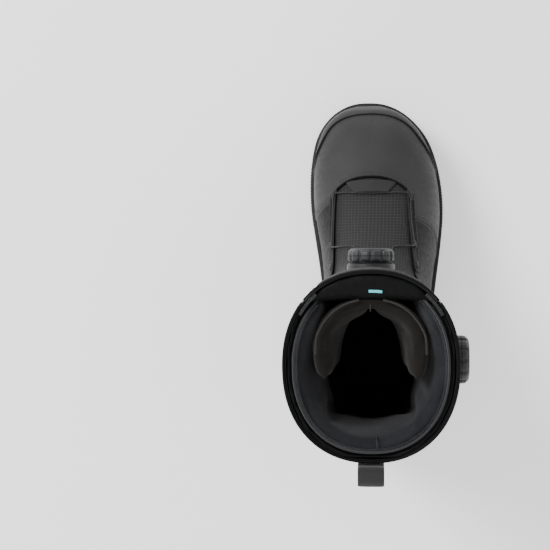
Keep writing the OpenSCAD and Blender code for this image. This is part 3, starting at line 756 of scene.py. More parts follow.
def row_of_lugs(box, spans, xa, xb, slant, z0=0.0, z1=4.8, ridge=0.0):
    """Blocks between two borders; spans are (y0, y1) on border a, and the grooves lean by slant."""
    for k, (y0, y1) in enumerate(spans):
        ya = np.linspace(y0, y1, 4)
        yb = ya + slant
        side_a = [(float(xa(y)), y) for y in ya]
        side_b = [(float(xb(y)), y) for y in yb[::-1]]
        lug(box, side_a + side_b, z0, z1)
        if ridge and k + 1 < len(spans):
            m = (y1 + spans[k + 1][0]) / 2
            h = ridge / 2
            lug(box, [(float(xa(m)) * 0.995, m - h), (float(xa(m)) * 0.995, m + h),
                (float(xb(m + slant)), m + slant + h),
                      (float(xb(m + slant)), m + slant - h)], z0 + 1.4, z1, 0.3, 0.3)


# ---------------------------------------------------------------- sole
def skin_cloud():
    s, t = np.meshgrid(np.linspace(0, 12.5, 500), np.linspace(70, 180, 160), indexing="ij")
    cloud = np.concatenate([skin(s, t).reshape(-1, 3), skin(s, -t).reshape(-1, 3)])
    return cloud[cloud[:, 2] < 45]


def sidewall_reach():
    """How far the sidewall's top leans in to meet the upper, at each loop point."""
    cloud, reach = skin_cloud(), []
    for p in LOOP:
        top = np.interp(p[1], SIDEWALL_TOP[:, 0], SIDEWALL_TOP[:, 1]) - 0.5
        near = cloud[np.abs(cloud[:, 2] - top) < 0.8]
        reach.append(np.linalg.norm(near[:, :2] - p, axis=1).min())
    reach = np.clip(np.array(reach) - 0.25, 2.4, 8)
    for _ in range(10):
        reach = (np.roll(reach, 1) + 2 * reach + np.roll(reach, -1)) / 4
    return reach


REACH = sidewall_reach()


def sidewall_section(y, k):
    low = float(ground(y)) + 4.9
    top = float(np.interp(y, SIDEWALL_TOP[:, 0], SIDEWALL_TOP[:, 1]))
    h = top - low
    r = REACH[k]
    rib = [(-3.0, low + 0.2), (-1.2, low), (-0.2, low + 0.7), (0.4, low + 2.0), (0.5, low + 0.27 * h),
           (0.3, low + 0.30 * h), (-0.7, low + 0.31 * h), (-0.7, low + 0.345 * h), (0.2, low + 0.36 * h),
           (0.35, low + 0.5 * h), (0.15, low + 0.72 * h), (0.0, low + 0.77 * h), (-0.8, low + 0.785 * h),
           (-0.8, low + 0.82 * h), (-0.1, low + 0.84 * h), (-0.15, low + 0.93 * h), (-0.6, top - 0.5),
           (-1.3, top),
           (-0.6 * r - 0.8, top + 0.5), (-r, top + 0.3), (-r - 0.3, top - 1.5), (-3.4, low + 0.5 * h)]
    return rib


wall = ring_sweep("sidewall_band", sidewall_section, RAND)
fit(wall, "foot", ["sidewall"])

# Fine upright flutes between the sidewall's two grooves, at the ball and heel
flutes = Collector()
for k in range(len(LOOP)):
    y = LOOP[k][1]
    if not (-95 < y < -40 or 95 < y < 140):
        continue
    low = float(ground(y)) + 4.9
    h = float(np.interp(y, SIDEWALL_TOP[:, 0], SIDEWALL_TOP[:, 1])) - low
    run = np.array([LOOP_OUT[k][1], -LOOP_OUT[k][0]])
    c = LOOP[k] + LOOP_OUT[k] * 0.2
    loops = []
    for z, w, o in ((low + 0.4 * h, 0.3, -0.5), (low + 0.44 * h, 0.85, 0.4), (low + 0.68 * h, 0.85, 0.3),
        (low + 0.73 * h, 0.3, -0.5)):
        loops.append([(*(c + run * w + LOOP_OUT[k] * -0.6), z), (*(c + run * w * 0.6 + LOOP_OUT[k] * o), z),
                      (*(c - run * w * 0.6 + LOOP_OUT[k] * o), z),
                      (*(c - run * w + LOOP_OUT[k] * -0.6), z)])
    flutes.loops(loops)
fit(flutes.make("sidewall_flutes", RAND), "foot")


def sole_slab(name, y0, y1, inset, z0, z1, material, crown=0.0, n=60, across=14):
    """A layer of the sole between two places along it; crown hollows its underside across the middle."""
    half_l = follow([(-r[1], r[0]) for r in OUTLINE])
    half_m = follow([(r[2], r[0]) for r in OUTLINE])
    y = np.linspace(y0, y1, n + 1)
    xl, xm = half_l(y) + inset, half_m(y) - inset
    v = np.linspace(0, 1, across + 1)
    x = xl[:, None] + (xm - xl)[:, None] * v
    yy = y[:, None] * np.ones_like(x)
    arch = 4 * v * (1 - v) * np.sin(np.pi * np.linspace(0, 1, n + 1))[:, None] * crown
    low = np.stack([x, yy, ground(yy) + z0 + arch], -1)
    high = np.stack([x, yy, ground(yy) + z1], -1)
    w, half = across + 1, (n + 1) * (across + 1)
    faces = []
    for i in range(n):
        for j in range(across):
            a = i * w + j
            faces += [(a, a + 1, a + w + 1, a + w), (half + a, half + a + w, half + a + w + 1,
                half + a + 1)]
    rim = list(range(across)) + [i * w + across for i in range(n)]
    rim += [n * w + j for j in range(across, 0, -1)] + [i * w for i in range(n, 0, -1)]
    for a, b in zip(rim, rim[1:] + rim[:1]):
        faces.append((b, a, half + a, half + b))
    return new_object(name, np.concatenate([low.reshape(-1, 3), high.reshape(-1, 3)]), faces, material)


fit(sole_slab("forefoot_web", -148.5, 26, 2.6, 4.7, 8.2, POD), "foot", ["outsole_forefoot"])
fit(sole_slab("heel_web", 60, 149.5, 2.6, 4.7, 8.2, POD), "foot", ["outsole_heel"])
fit(sole_slab("midsole_wedge", -149.5, 150.5, 2.8, 7.8, 11.3, FOAM), "foot", ["midsole"])
fit(sole_slab("arch_shank", 21, 66, 2.4, 5.0, 8.4, ARCH, crown=0.8, n=40, across=24), "foot", ())

STRIP_L = follow([(-26, -134), (-28.3, -129.1), (-34.7, -100.4), (-35.1, -72.2), (-36.2, -53),
    (-32.5, -10.5), (-28.5, 18.3)])
STRIP_R = follow([(25.1, -135), (20.6, -104.7), (18.5, -76.3), (17.4, -57.1), (18.3, -23), (19.7, 17.1)])
POD_L = follow([(-34, -136.4), (-45.7, -121), (-57.3, -94.4), (-59.6, -68.6), (-60.2, -42.6),
    (-56.5, -17.2), (-51.8, 4.7), (-27.9, 21.6)])
POD_R = follow([(29.5, -143.9), (43.8, -125.3), (49.6, -94.1), (50.8, -68.2), (48.1, -46.6), (42.5, -20.5),
    (37, -3), (19.8, 18)])


def shifted(line, by):
    return lambda y: line(y) + by


# Raised beds under the lugs, one each side of the middle strip and one on it
beds = Collector()
y = np.linspace(-133, 20, 24)
for outer, inner, sign in ((POD_L, STRIP_L, 1), (POD_R, STRIP_R, -1)):
    edge = [(float(outer(q)) - 0.4 * sign, q) for q in y] + [(float(inner(q)) - 0.9 * sign,
        q) for q in y[::-1]]
    lug(beds, edge, 2.6, 5.0, 0.5, 0, 0.3)
middle = [(float(STRIP_L(q)) + 0.9, q) for q in y] + [(float(STRIP_R(q)) - 0.9, q) for q in y[::-1]]
lug(beds, middle, 2.9, 5.0, 0.5, 0, 0.3)
fit(beds.make("forefoot_beds", POD), "foot", ())

# Middle strip: roof-shaped bars, each with a flat dark slot piece that is painted shade in place of a cut
# recess, and low panels between them
RUNGS = [(-3.0, -126.5), (-5.2, -107), (-7.0, -85.8), (-8.0, -63.6), (-7.9, -40.6), (-6.9, -17.2),
    (-4.7, 4.5)]
bars, panels, slot_shades = Collector(), Collector(), Collector()
for k, (xc, yc) in enumerate(RUNGS):
    tilt = (0.13, 0.11, 0.08, 0.05, 0.02, 0, 0)[k]
    at = lambda x, dy: (xc + x, yc + dy + tilt * x)
    left, right = float(STRIP_L(yc + 9)) + 2.4 - xc, float(STRIP_R(yc + 9)) - 2.4 - xc
    lug(bars, [at(-15.5, -4.2), at(15.5, -4.2), at(15, 3.6), at(-15, 3.6)], 0.0, 3.6, 0.6, 0.3)
    lug(bars, [at(left, 6.5), at(-14.2, -4.0), at(-13.8, 3.4), at(left, 12.2)], 0.12, 3.6, 0.6, 0.3)
    lug(bars, [at(14.2, -4.0), at(right, 6.5), at(right, 12.2), at(13.8, 3.4)], 0.12, 3.6, 0.6, 0.3)
    # Flat dark slot piece: painted shade standing in for a cut recess
    corners = [at(-12.6, -0.8), at(12.6, -0.8), at(12.6, 0.3), at(-12.6, 0.3)]
    lug(slot_shades, corners, -0.07, 1.7, 0.05, 0.3, 0)
    if k + 1 < len(RUNGS):
        gap_y = RUNGS[k + 1][1] - yc
        panel = [at(-13.6, 5.6), at(13.6, 5.6), at(13.6, gap_y - 6.2), at(-13.6, gap_y - 6.2)]
        lug(panels, panel, 1.1, 3.6, 0.5, 0.8)
        for inner, outer in ((-15.2, left), (15.2, right)):
            if gap_y > 19:
                lug(panels, [at(inner, 6.6), at(outer * 0.99, 14.5), at(outer * 0.99, gap_y + 4.4),
                    at(inner, gap_y - 5.8)], 0.9, 3.6, 0.5, 0.8)
lug(panels, [(-25, 13.2), (15.5, 13.2), (13.5, 19.4), (-22, 19.4)], 0.9, 3.6, 0.5, 0.8)
fit(bars.make("tread_roof_bars", TREAD), "foot", ["tread_centre"])
fit(slot_shades.make("tread_roof_slot_shades", TRIM), "foot", ())
fit(panels.make("tread_panels", TREAD), "foot", ())
badge = Collector()
lug(badge, [(-17.5, 14.4), (9.5, 14.4), (9.5, 18.2), (-17.5, 18.2)], 0.7, 3, 0.3, 0.5)
fit(badge.make("tread_badge_blank", TRIM), "foot", ())


def sole_insert(name, node, left, right, ends, count, lean, material=AMBER, reach=0.58):
    """Amber grip: a spine with leaning toothed segments, each with two small slot marks made as flat dark
    amber pieces: painted shade in place of cut recesses.
    left and right give its sides at y, ends its first and last y on the left side."""
    pitch = (ends[1] - ends[0]) / count
    h = pitch * reach
    box, painted_slot_shade = Collector(), Collector()

    def bar(y0, y1, bite, z0, z1, corner):
        lug(box, [(left(y0) + bite, y0), (left(y1) + bite, y1), (right(y1 + lean) - bite, y1 + lean),
            (right(y0 + lean) - bite, y0 + lean)],
            z0, z1, 0.6, corner, 0.5)

    for k in range(count):
        y0 = ends[0] + k * pitch
        bar(y0, ends[1] if k == count - 1 else y0 + h, 0, -0.15, 3.4, 0.8)
        if k < count - 1:
            bar(y0 + h - 1.5, y0 + pitch + 1.5, 3.2, 0.3, 3.3, 0.1)
        # Two flat dark slot pieces per segment: painted shade, not cut recesses
        for line, y_mid, inwards in ((left, y0 + h * 0.5, 2.4), (right, y0 + h * 0.5 + lean, -2.4)):
            x = line(y_mid) + inwards
            lug(painted_slot_shade, [(x - 0.55, y_mid - 2.1), (x + 0.55, y_mid - 2.1), (x + 0.55, y_mid + 2.1),
                (x - 0.55, y_mid + 2.1)],
                -0.22, 1.3, 0.02, 0.3, 0)
    fit(painted_slot_shade.make(name + "_slot_shades", AMBER_SLOT_SHADE), "foot", ())
    return fit(box.make(name, material), "foot", [node])


line_m = lambda x0, x1: (lambda y: x0 + (x1 - x0) * (y + 115) / 86)
sole_insert("grip_forefoot_medial", "insert_forefoot_medial", line_m(24.9, 20.4), line_m(37.0, 35.4),
    (-115.3, -41.5), 4, 10.5)
line_l = lambda x0, x1: (lambda y: x0 + (x1 - x0) * (y + 90) / 72)
sole_insert("grip_forefoot_lateral", "insert_forefoot_lateral", line_l(-49.6, -47.6), line_l(-37.2, -36.6),
    (-79.6, -18), 3, -10.5)
line_h = lambda x0, x1: (lambda y: x0 + (x1 - x0) * (y - 65) / 75)
sole_insert("grip_heel_lateral", "insert_heel_lateral", line_h(-39.9, -26.6), line_h(-25.2, -9.6),
    (64.6, 135.5), 4, 5.0)
sole_insert("grip_heel_medial", "insert_heel_medial", line_h(20.4, 8.8), line_h(36.4, 26.4), (75.5, 140.0),
    4, -5.5)

# Outer lugs of the forefoot, with end blocks
lugs = Collector()
row_of_lugs(lugs, [(-104, -83), (-80, -59), (-56, -36), (-33, -16)], shifted(POD_L, 0.9),
    lambda y: -51.6 + 0 * y, 5.5, ridge=1.2)
lug(lugs, [(-36, -134), (float(POD_L(-121)) + 1, -121), (float(POD_L(-108)) + 1.2, -108), (-49, -104),
    (-48.6, -116), (-36, -125)], 0, 4.8)
lug(lugs, [(-33.4, -124.5), (-46.4, -114.5), (-46.6, -93), (-36.6, -100.5)], 0, 4.8)
lug(lugs, [(float(POD_L(-12)) + 1, -12), (-48.6, -7), (-48.2, 8.5), (float(POD_L(3)) + 1, 3)], 0, 4.8)
lug(lugs, [(-46.3, -13.5), (-34.2, -22), (-31.4, 3), (-45.6, 10.5)], 0, 4.8)
lug(lugs, [(-31.5, 6.2), (-44.5, 12.4), (-29.6, 19.2)], 0.8, 4.8)
fit(lugs.make("lugs_forefoot_lateral", TREAD), "foot", ["tread_lateral"])
lugs = Collector()
row_of_lugs(lugs, [(-118, -99), (-96, -76), (-73, -54), (-51, -34)], shifted(POD_R, -0.9),
    lambda y: 39.6 - 0.03 * (y + 100), 6.5, ridge=1.2)
lug(lugs, [(28, -139.5), (float(POD_R(-136)) - 1, -136), (float(POD_R(-124)) - 1, -124), (41, -117),
    (27, -124)], 0, 4.8)
lug(lugs, [(26.5, -137.5), (23.8, -123.5), (37.5, -112), (38.5, -119.5)], 0.2, 4.8, 0.5, 0.6)
lug(lugs, [(19.9, -38.6), (34.6, -24.4), (34.6, -6), (20.2, -18.5)], 0, 4.8)
lug(lugs, [(37.0, -25.5), (float(POD_R(-28)) - 1, -28), (float(POD_R(-6)) - 1, -6), (36.6, -3)], 0, 4.8)
lug(lugs, [(20.2, -14.8), (33.6, -2.4), (21.2, 14.5)], 0.8, 4.8)
fit(lugs.make("lugs_forefoot_medial", TREAD), "foot", ["tread_medial"])

# Curved bars at the toe and heel
curves = Collector()
for y_mid, half, z0 in ((-148.6, 15, 2.2), (-144.6, 25, 1.6), (-140.4, 30, 1.0), (-135.8, 32, 0.6)):
    u = np.linspace(-1, 1, 15)
    bow = y_mid + 9.0 * u**2 * (half / 32)
    width = 1.5 * (1 - 0.55 * u**4)
    x = 1.5 + half * u
    lug(curves, list(zip(x, bow - width)) + list(zip(x[::-1], (bow + width)[::-1])), z0, 4.8, 0.5, 0)
fit(curves.make("toe_curved_bars", TREAD), "foot", ["toe_bars"])

HEEL_L_IN = follow([(-25.5, 59), (-19.4, 75.5), (-6.5, 140.5)])
HEEL_L_OUT = follow([(-46.2, 60.9), (-44.8, 79.6), (-42.1, 114.1), (-35.3, 131), (-22.5, 143.9)])
HEEL_R_IN = follow([(19, 63.9), (15.3, 74.9), (11.5, 106.5), (7.1, 139.5)])
HEEL_R_OUT = follow([(38.3, 66.2), (41.1, 93.8), (39.9, 114.7), (33.4, 129.1), (23.1, 140.4)])
beds = Collector()
for outer, inner, y0, y1, sign in ((HEEL_L_OUT, HEEL_L_IN, 60.5, 142.5, 1),
    (HEEL_R_OUT, HEEL_R_IN, 66, 139.5, -1)):
    y = np.linspace(y0, y1, 14)
    lug(beds, [(float(outer(q)) - 0.6 * sign, q) for q in y] + [(float(inner(q)) + 0.4 * sign,
        q) for q in y[::-1]], 2.4, 5.0, 0.5, 0, 0.3)
fit(beds.make("heel_beds", POD), "foot", ())
lugs = Collector()
row_of_lugs(lugs, [(62.5, 79), (82.5, 99), (102.5, 118), (121.5, 131)], shifted(HEEL_L_OUT, 0.6),
    lambda y: line_h(-41.6, -28.6)(y), -5.0, ridge=1.1)
fit(lugs.make("lugs_heel_lateral", TREAD), "foot", ["tread_heel_lateral"])
lugs = Collector()
row_of_lugs(lugs, [(69, 85), (88.5, 104), (107.5, 121), (124.5, 132)], shifted(HEEL_R_OUT, -0.6),
    lambda y: line_h(38.2, 28.4)(y), -5.0, ridge=1.1)
fit(lugs.make("lugs_heel_medial", TREAD), "foot", ["tread_heel_medial"])

# Heel centre: small bars above and below the window, and curved bars behind
bars = Collector()
for y0, y1, z0 in ((80.5, 85.5, 0.8), (88, 91.5, 1.0), (107, 109.5, 0.6), (112, 117, 0.8),
    (119.5, 122, 0.6), (125, 129.5, 0.8), (132, 134, 1.0), (136, 138, 1.2)):
    a, b = float(HEEL_L_IN(y0)) + 2.6, float(HEEL_R_IN(y0)) - 2.6
    c, d = float(HEEL_L_IN(y1)) + 3.2, float(HEEL_R_IN(y1)) - 3.2
    lug(bars, [(a, y0), (b, y0), (d, y1), (c, y1)], z0, 4.8, 0.5, 0.6)
for y_mid, half in ((142.3, 24), (146.6, 17)):
    u = np.linspace(-1, 1, 13)
    bow = y_mid - 4.0 * u**2 * (half / 24)
    width = 1.3 * (1 - 0.55 * u**4)
    lug(bars, list(zip(half * u, bow - width)) + list(zip((half * u)[::-1], (bow + width)[::-1])), 0.8, 4.8,
        0.5, 0)
fit(bars.make("heel_centre_bars", TREAD), "foot", ["tread_heel_centre"])
window = Collector()
u = np.radians(np.linspace(0, 180, 15))
lug(window, [(-0.4 + 8.6 * math.cos(a), 94.4 + 10.2 * math.sin(a) ** 0.8) for a in u], 1.6, 5.2, 0.8, 0)
fit(window.make("heel_teal_window", TEAL), "foot", ["heel_window"])
frame_bar = Collector()
outer = [(-0.4 + 10.6 * math.cos(a), 93.0 + 13.0 * math.sin(a) ** 0.8) for a in u]
inner = [(-0.4 + 8.7 * math.cos(a), 94.3 + 10.4 * math.sin(a) ** 0.8) for a in u]
lug(frame_bar, outer[:15] + inner[::-1], 1.0, 4.8, 0.3, 0)
fit(frame_bar.make("heel_window_frame", TREAD), "foot", ())

# Arch: grooved middle tongue on a smooth shank
arch_lines = follow([(-28.5, 19), (-27, 40), (-25, 60), (-17, 71), (-10, 78)])
arch_lines_r = follow([(19.5, 19), (19.5, 40), (18, 62), (11, 71), (6, 78)])
y = np.linspace(22.5, 76.5, 12)
box = Collector()
lug(box, [(float(arch_lines(q)), q) for q in y] + [(float(arch_lines_r(q)), q) for q in y[::-1]], 3.4, 6.4,
    0.6, 0)
grooves = Collector()
for xa, ya, xb, yb in ((-19.7, 27.5, 8.4, 26), (-19.3, 38.2, 13.9, 36.6), (-21.8, 49.2, 16.4, 47.6),
    (-18.9, 60.2, 14.3, 58.6), (-16.3, 70.6, 9.7, 69.4)):
    lug(grooves, [(xa, ya - 1.4), (xb, yb - 1.4), (xb, yb + 1.4), (xa, ya + 1.4)], 0, 4.8, 0.02, 0.6, 0)
fit(cut(box.make("arch_grooved_plate", ARCH), grooves), "foot", ["arch_plate"])


# ---------------------------------------------------------------- upper on the foot
def throat(s, side):
    """Angle of the throat's edge from the middle, by section."""
    steps = [4.6, 5.08, 6.0, 7.0, 7.8, 8.6, 9.5]
    return np.interp(s, steps, [28, 29.2, 31, 35.8, 41, 46, 49] if side < 0 else [33, 34.2, 38.6, 45, 49,
        52, 54])


def vamp_end(t):
    """Section where the toe part ends: throat arc in the middle, lateral flap further back than medial."""
    a = np.abs(t)
    corner = np.where(t < 0, 29.2, 34.2)
    arc = 4.62 + 0.45 * (np.minimum(a, corner) / corner) ** 2.2
    lateral = np.interp(a, [29.2, 30.6, 32.5, 36, 42, 52, 66, 84, 100, 112],
        [5.07, 5.5, 5.88, 6.02, 6.12, 6.24, 6.5, 6.98, 7.3, 7.45])
    medial = np.interp(a, [34.2, 36, 39, 44, 54, 66, 80, 100, 112],
        [5.07, 5.22, 5.36, 5.5, 5.66, 5.82, 5.96, 6.1, 6.15])
    return np.where(a <= corner, arc, np.where(t < 0, lateral, medial))


def quarter_start(t):
    feather = s_at(t, 0, height_surface(22), 4, 12)
    return np.maximum(vamp_end(np.clip(t, -112, 112)) - 0.1, feather)


vamp = plate("vamp_panel", lambda u, v: (mix(0.0, vamp_end(mix(-112, 112, v)), u), mix(-112, 112, v)), 60,
    90,
             0.25, -SHELL_T, VAMP, round_off=1.0)
fit(vamp, "foot", ["vamp"])


def seam_row(name, ts, back, material=STITCH, d=0.2, **extra):
    """Stitches along the toe part's end, set forwards of it by back sections."""
    return stitches(name, [(float(vamp_end(np.array(t))) - back, t, d) for t in ts], "foot", material,
        **extra)


arc = np.linspace(-28.4, 33.4, 60)
for k, back in enumerate((0.1, 0.17)):
    seam_row("stitch_throat_%d" % k, arc, back, d=0.25)
lateral_run = -np.linspace(33, 100, 60)
medial_run = np.linspace(38, 100, 60)
for k, back in enumerate((0.1, 0.2)):
    seam_row("stitch_vamp_lateral_%d" % k, lateral_run, back, d=0.25)
    seam_row("stitch_vamp_medial_%d" % k, medial_run, back, d=0.25)

# Rolled binding along the throat's edge
rim = np.linspace(-29.1, 34.1, 60)
path = skin(vamp_end(rim) - 0.01, rim, -0.5)
fit(tube("throat_binding", path, 1.15, EDGE, 10), "foot", ())

# Rubber toe band: thick at the tip, tapering away along both sides
def bumper_top_z(y):
    return mix(50.5, 31, smooth((y + 122) / 54))


def bumper_place(u, v):
    t = mix(-90, 90, v)
    top = s_at(t, 0, lambda p: p[..., 2] - bumper_top_z(p[..., 1]), 0.2, 7)
    return mix(0.0, top, u), t


bumper = plate("toe_band", bumper_place, 22, 110, lambda u, v, s,
    t: 2.3 - 0.9 * smooth((np.abs(t) - 40) / 50), 0.0, RAND, round_off=1.1)
fit(bumper, "foot", ["toe_bumper"])
t = np.linspace(-86, 86, 120)
u, tt = bumper_place(np.ones_like(t), (t + 90) / 180)
fit(tube("toe_band_lip", skin(u - 0.03, t, 1.7), 0.55, RAND, 8), "foot", ())
line = [(float(a) + 0.035, float(b), 0.25) for a, b in zip(u, t)]
stitches("stitch_toe_band", line, "foot", EDGE, pitch=3.2, length=2.3, radius=0.3)


# Quarters: one skin each side, tucked under the toe part
def quarter_place(side):
    def place(u, v):
        t = side * mix(179.9, 30, v)
        for _ in range(3):
            s_top = s_low(t)
            edge = throat(mix(quarter_start(t), s_top, u), side) + 0.8
            t = side * mix(179.9, edge, v)
        return mix(quarter_start(t), s_low(t), u), t
    return place


for side, word in ((-1, "lateral"), (1, "medial")):
    q = plate("quarter_%s_skin" % word, quarter_place(side), 44, 80, -0.45, -SHELL_T, QUARTER,
        round_off=0.6)
    fit(q, "foot", ["quarter_" + word])

# Eyestays with a folded edge, their guides and stitching
def eyestay_line(offset, side, s0=5.12, s1=8.05, d=1.0, n=40):
    s = np.linspace(s0, s1, n)
    return [(a, side * (float(throat(a, side)) + offset), d) for a in s]


for side, word in ((-1, "lateral"), (1, "medial")):
    place = lambda u, v, side=side: (mix(5.04, 8.12, u),
        side * (throat(mix(5.04, 8.12, u), side) + mix(6.6, 0.3, v)))
    stay = plate("eyestay_%s_band" % word, place, 60, 14, lambda u, v, s, t: -0.1 + 0.55 * smooth(u * 5),
        -0.8, QUARTER, round_off=0.5)
    fit(stay, "foot", ["eyestay_" + word])
    line = np.array(eyestay_line(0.3, side, d=0.35))
    fit(tube("eyestay_%s_piping" % word, skin(line[:, 0], line[:, 1], line[:, 2] - 0.2), 0.85, TRIM, 10),
        "foot", ())
    for k, off in enumerate((1.8, 5.6)):
        stitches("stitch_eyestay_%s_%d" % (word, k), eyestay_line(off, side), "foot", STITCH)

GUIDE_S = (5.22, 6.92, 7.8)


def guide_block(box, s, t, length=8.0, width=3.8, height=1.9, d=0.5):
    """Low rounded guide that the cable turns in, lying along the throat's edge."""
    c = skin(s, t, d)
    side = np.sign(t)
    f = skin(s + 0.05, t + side * (throat(s + 0.05, side) - throat(s, side)), d) - c
    f /= np.linalg.norm(f)
    n = skin(s, t, d + 1) - c
    n -= f * f.dot(n)
    n /= np.linalg.norm(n)
    b = np.cross(f, n)
    loops = []
    for h, k in ((0.0, 1.0), (height * 0.5, 0.96), (height * 0.85, 0.8), (height, 0.5)):
        ring = []
        for a in np.linspace(0, 2 * math.pi, 20, endpoint=False):
            x, y = math.cos(a), math.sin(a)
            x, y = np.sign(x) * abs(x) ** 0.6, np.sign(y) * abs(y) ** 0.6
            ring.append(c + f * x * length / 2 * k + b * y * width / 2 * k + n * (h - 0.3))
        loops.append(ring)
    box.loops(loops)


guides = Collector()
for side in (-1, 1):
    for s in GUIDE_S:
        guide_block(guides, s, side * (float(throat(s, side)) + 2.0))
fit(guides.make("eyestay_guides", TRIM, 50), "foot", ["lace_guides"])

# Trapezoid guide that slips out from under the throat
def guide_tab(u, v):
    t = mix(-mix(21.5, 11.5, u), mix(25, 13.5, u), v)
    return mix(4.7, 5.14, u) + 0.0001 * t**2, t


fit(plate("throat_guide_tab", guide_tab, 14, 30, lambda u, v, s, t: 0.1 + 0.9 * u, -1.6,
    coated("guide_tab", 0.024, 0.031, NEUTRAL, 0.42), 0.9),
    "foot", ["throat_guide"])
ridge = [(5.115 + 0.0001 * t * t, t) for t in np.linspace(-11, 13, 24)]
fit(tube("throat_guide_lip", skin([a for a, _ in ridge], [b for _, b in ridge], 0.7), 0.8, TRIM, 10),
    "foot", ())

# Ripstop panel of the instep, which carries on behind the upper tongue and bends at the ankle
def instep_place(u, v):
    top = 9.4
    s = mix(4.35, top, u)
    return s, mix(-throat(s, -1) - 5, throat(s, 1) + 4, v)


panel = plate("instep_ripstop", instep_place, 110, 60, lambda u, v, s, t: -2.2 + 0.8 * np.sin(np.pi * v),
    lambda u, v, s, t: -3.9 + 0.8 * np.sin(np.pi * v), RIPSTOP)
fit(panel, FLEX, ["instep_tongue"])
for k, side in enumerate((-1, 1)):
    line = [(s, side * 0.86 * float(throat(s, side)), -1.8) for s in np.linspace(5.25, 7.7, 50)]
    stitches("stitch_instep_%d" % k, line, "foot", STITCH, pitch=3.0)

# Gusset at the ankle, with ribs, showing only when the boot bends
def gusset_place(side):
    def place(u, v):
        t = side * mix(179.9, 36, v)
        return mix(s_low(t) - 0.25, s_high(t) + 0.3, u), t
    return place


for side, word in ((-1, "lateral"), (1, "medial")):
    g = plate("ankle_gusset_%s" % word, gusset_place(side), 26, 60,
              lambda u, v, s, t: -2.75 + 0.28 * np.sin(u * 14 * np.pi), -3.15, GUSSET)
    fit(g, FLEX, ())

# Heel: moulded cup, counter seam and a pale stitched overlay
def heel_cup_place(u, v):
    t = mix(138, 222, v)
    low = s_at(t, 0, lambda p: p[..., 2] - 34, 8.5, 14)
    edge = np.abs(v - 0.5) * 2
    return mix(low, 12.95 - 0.75 * edge**2.2, u), t


cup = plate("heel_cup_shell", heel_cup_place, 30, 60, lambda u, v, s, t: 1.8 - 1.2 * np.abs(2 * v - 1) ** 3,
    -0.6, TRIM, round_off=1.4)
fit(cup, "foot", ["heel_cup"])
for k, at in enumerate((0.35, 0.52, 0.69)):
    v = np.linspace(0.16, 0.84, 40)
    s, t = heel_cup_place(np.full(40, at), v)
    fit(tube("heel_cup_rib_%d" % k, skin(s, t, 1.75), 0.6, TRIM, 8), "foot", ())


for side, word in ((-1, "lateral"), (1, "medial")):
    t_low, t_top = 126, 72
    def strap(u, v, side=side):
        t = side * mix(t_low, t_top, u)
        base = s_at(t, 0, height_surface(26), 6, 12)
        top = s_low(t) - 0.12
        centre = mix(base + 0.0, top, smooth(u) * 0.98 + 0.02)
        return np.clip(centre + mix(-0.5, 0.5, v) * mix(1.5, 0.75, u), base, top), t
    over = plate("quarter_overlay_%s" % word, strap, 50, 20, 0.45, -0.6, VAMP, round_off=0.5)
    fit(over, "foot", ())
    for k, w in enumerate((0.06, 0.94)):
        u = np.linspace(0.06, 0.93, 60)
        s, t = strap(u, np.full(60, w))
        stitches("stitch_overlay_%s_%d" % (word, k), list(zip(s, t, np.full(60, 0.45))), "foot", STITCH)

# Straps of the ankle harness, between the shell and the liner
for side, word in ((-1, "lateral"), (1, "medial")):
    def harness(u, v, side=side):
        t = side * mix(112, 50, v)
        top = s_low(t) - 0.55
        return mix(top - 1.1, top, u), t
    fit(plate("harness_strap_%s" % word, harness, 12, 30, -3.3, -3.9, STRAP), "foot", ["harness_" + word])
counter = plate("heel_counter_board", lambda u,
    v: (mix(s_at(mix(131, 229, v), 0, height_surface(22), 4, 12) + 0.4, 12.9, u), mix(131, 229, v)),
                20, 40, -2.95, -3.45, BOARD)
fit(counter, "foot", ["heel_counter"])


# ---------------------------------------------------------------- lace
def cable_line(route, per=8):
    rows = spline_points(route, per)
    return skin(rows[:, 0], rows[:, 1], rows[:, 2])


CABLE_R = 0.62
for side in (-1, 1):
    word = "lateral" if side < 0 else "medial"
    out = lambda s, by=0.0: side * (float(throat(s, side)) + by)
    route = [(5.17, 0, 0.2), (5.16, side * 8, 0.3), (5.15, side * 15, 0.2), (5.14, side * 23, 0.4),
        (5.16, out(5.16, -1.2), 1.2), (5.26, out(5.26, 1.6), 1.5),
             (5.6, out(5.6, 1.4), 1.0), (6.1, out(6.1, 1.4), 1.0), (6.6, out(6.6, 1.5), 1.1),
             (6.86, out(6.86, 1.6), 1.5),
             (6.98, out(6.98, 0.2), 1.7), (7.0, out(7.0, -5), 0.9), (7.03, side * 26, -0.4),
             (7.06, side * 21, -0.9), (7.12, side * 17.5, -0.8)]
    cable = tube("instep_cable_%s" % word, cable_line(route), CABLE_R, CABLE, 10)
    fit(cable, "foot", ["instep_lace"] if side < 0 else ())
    route = [(7.12, side * 17.5, -0.8), (7.35, side * 17.0, -0.8), (7.7, side * 16.5, -0.2),
        (7.95, side * 16.3, 0.4)]
    rise = tube("instep_cable_rise_%s" % word, cable_line(route), CABLE_R, CABLE, 10)
    fit(rise, FLEX, ())
    route = [(7.95, side * 16.3, 0.4), (8.25, side * 16.0, 1.3), (8.6, side * 15.4, 1.5),
        (8.9, side * 14.4, 1.5)]
    ends = [tuple(skin(s, side * 16, 0.5) * MM) for s in (7.95, 8.8)]
    fit(tube("tongue_cable_%s" % word, cable_line(route), CABLE_R, CABLE, 10), ("cuff", "tongue", *ends),
        ())
HARNESS = [(14.6, -96, -3.4), (14, -100, -3.4), (13.2, -96, -3.4), (12.4, -88, -3.4), (11.5, -84, -3.4),
    (10.6, -82, -3.4), (9.9, -82, -3.5)]
fit(tube("harness_cable_run", cable_line(HARNESS), 0.45, CABLE, 8), FLEX, ["harness_cable"])


# ---------------------------------------------------------------- liner
def leg_d(s, low, top):
    return mix(low, top, smooth((s - 11.5) / 3.5))


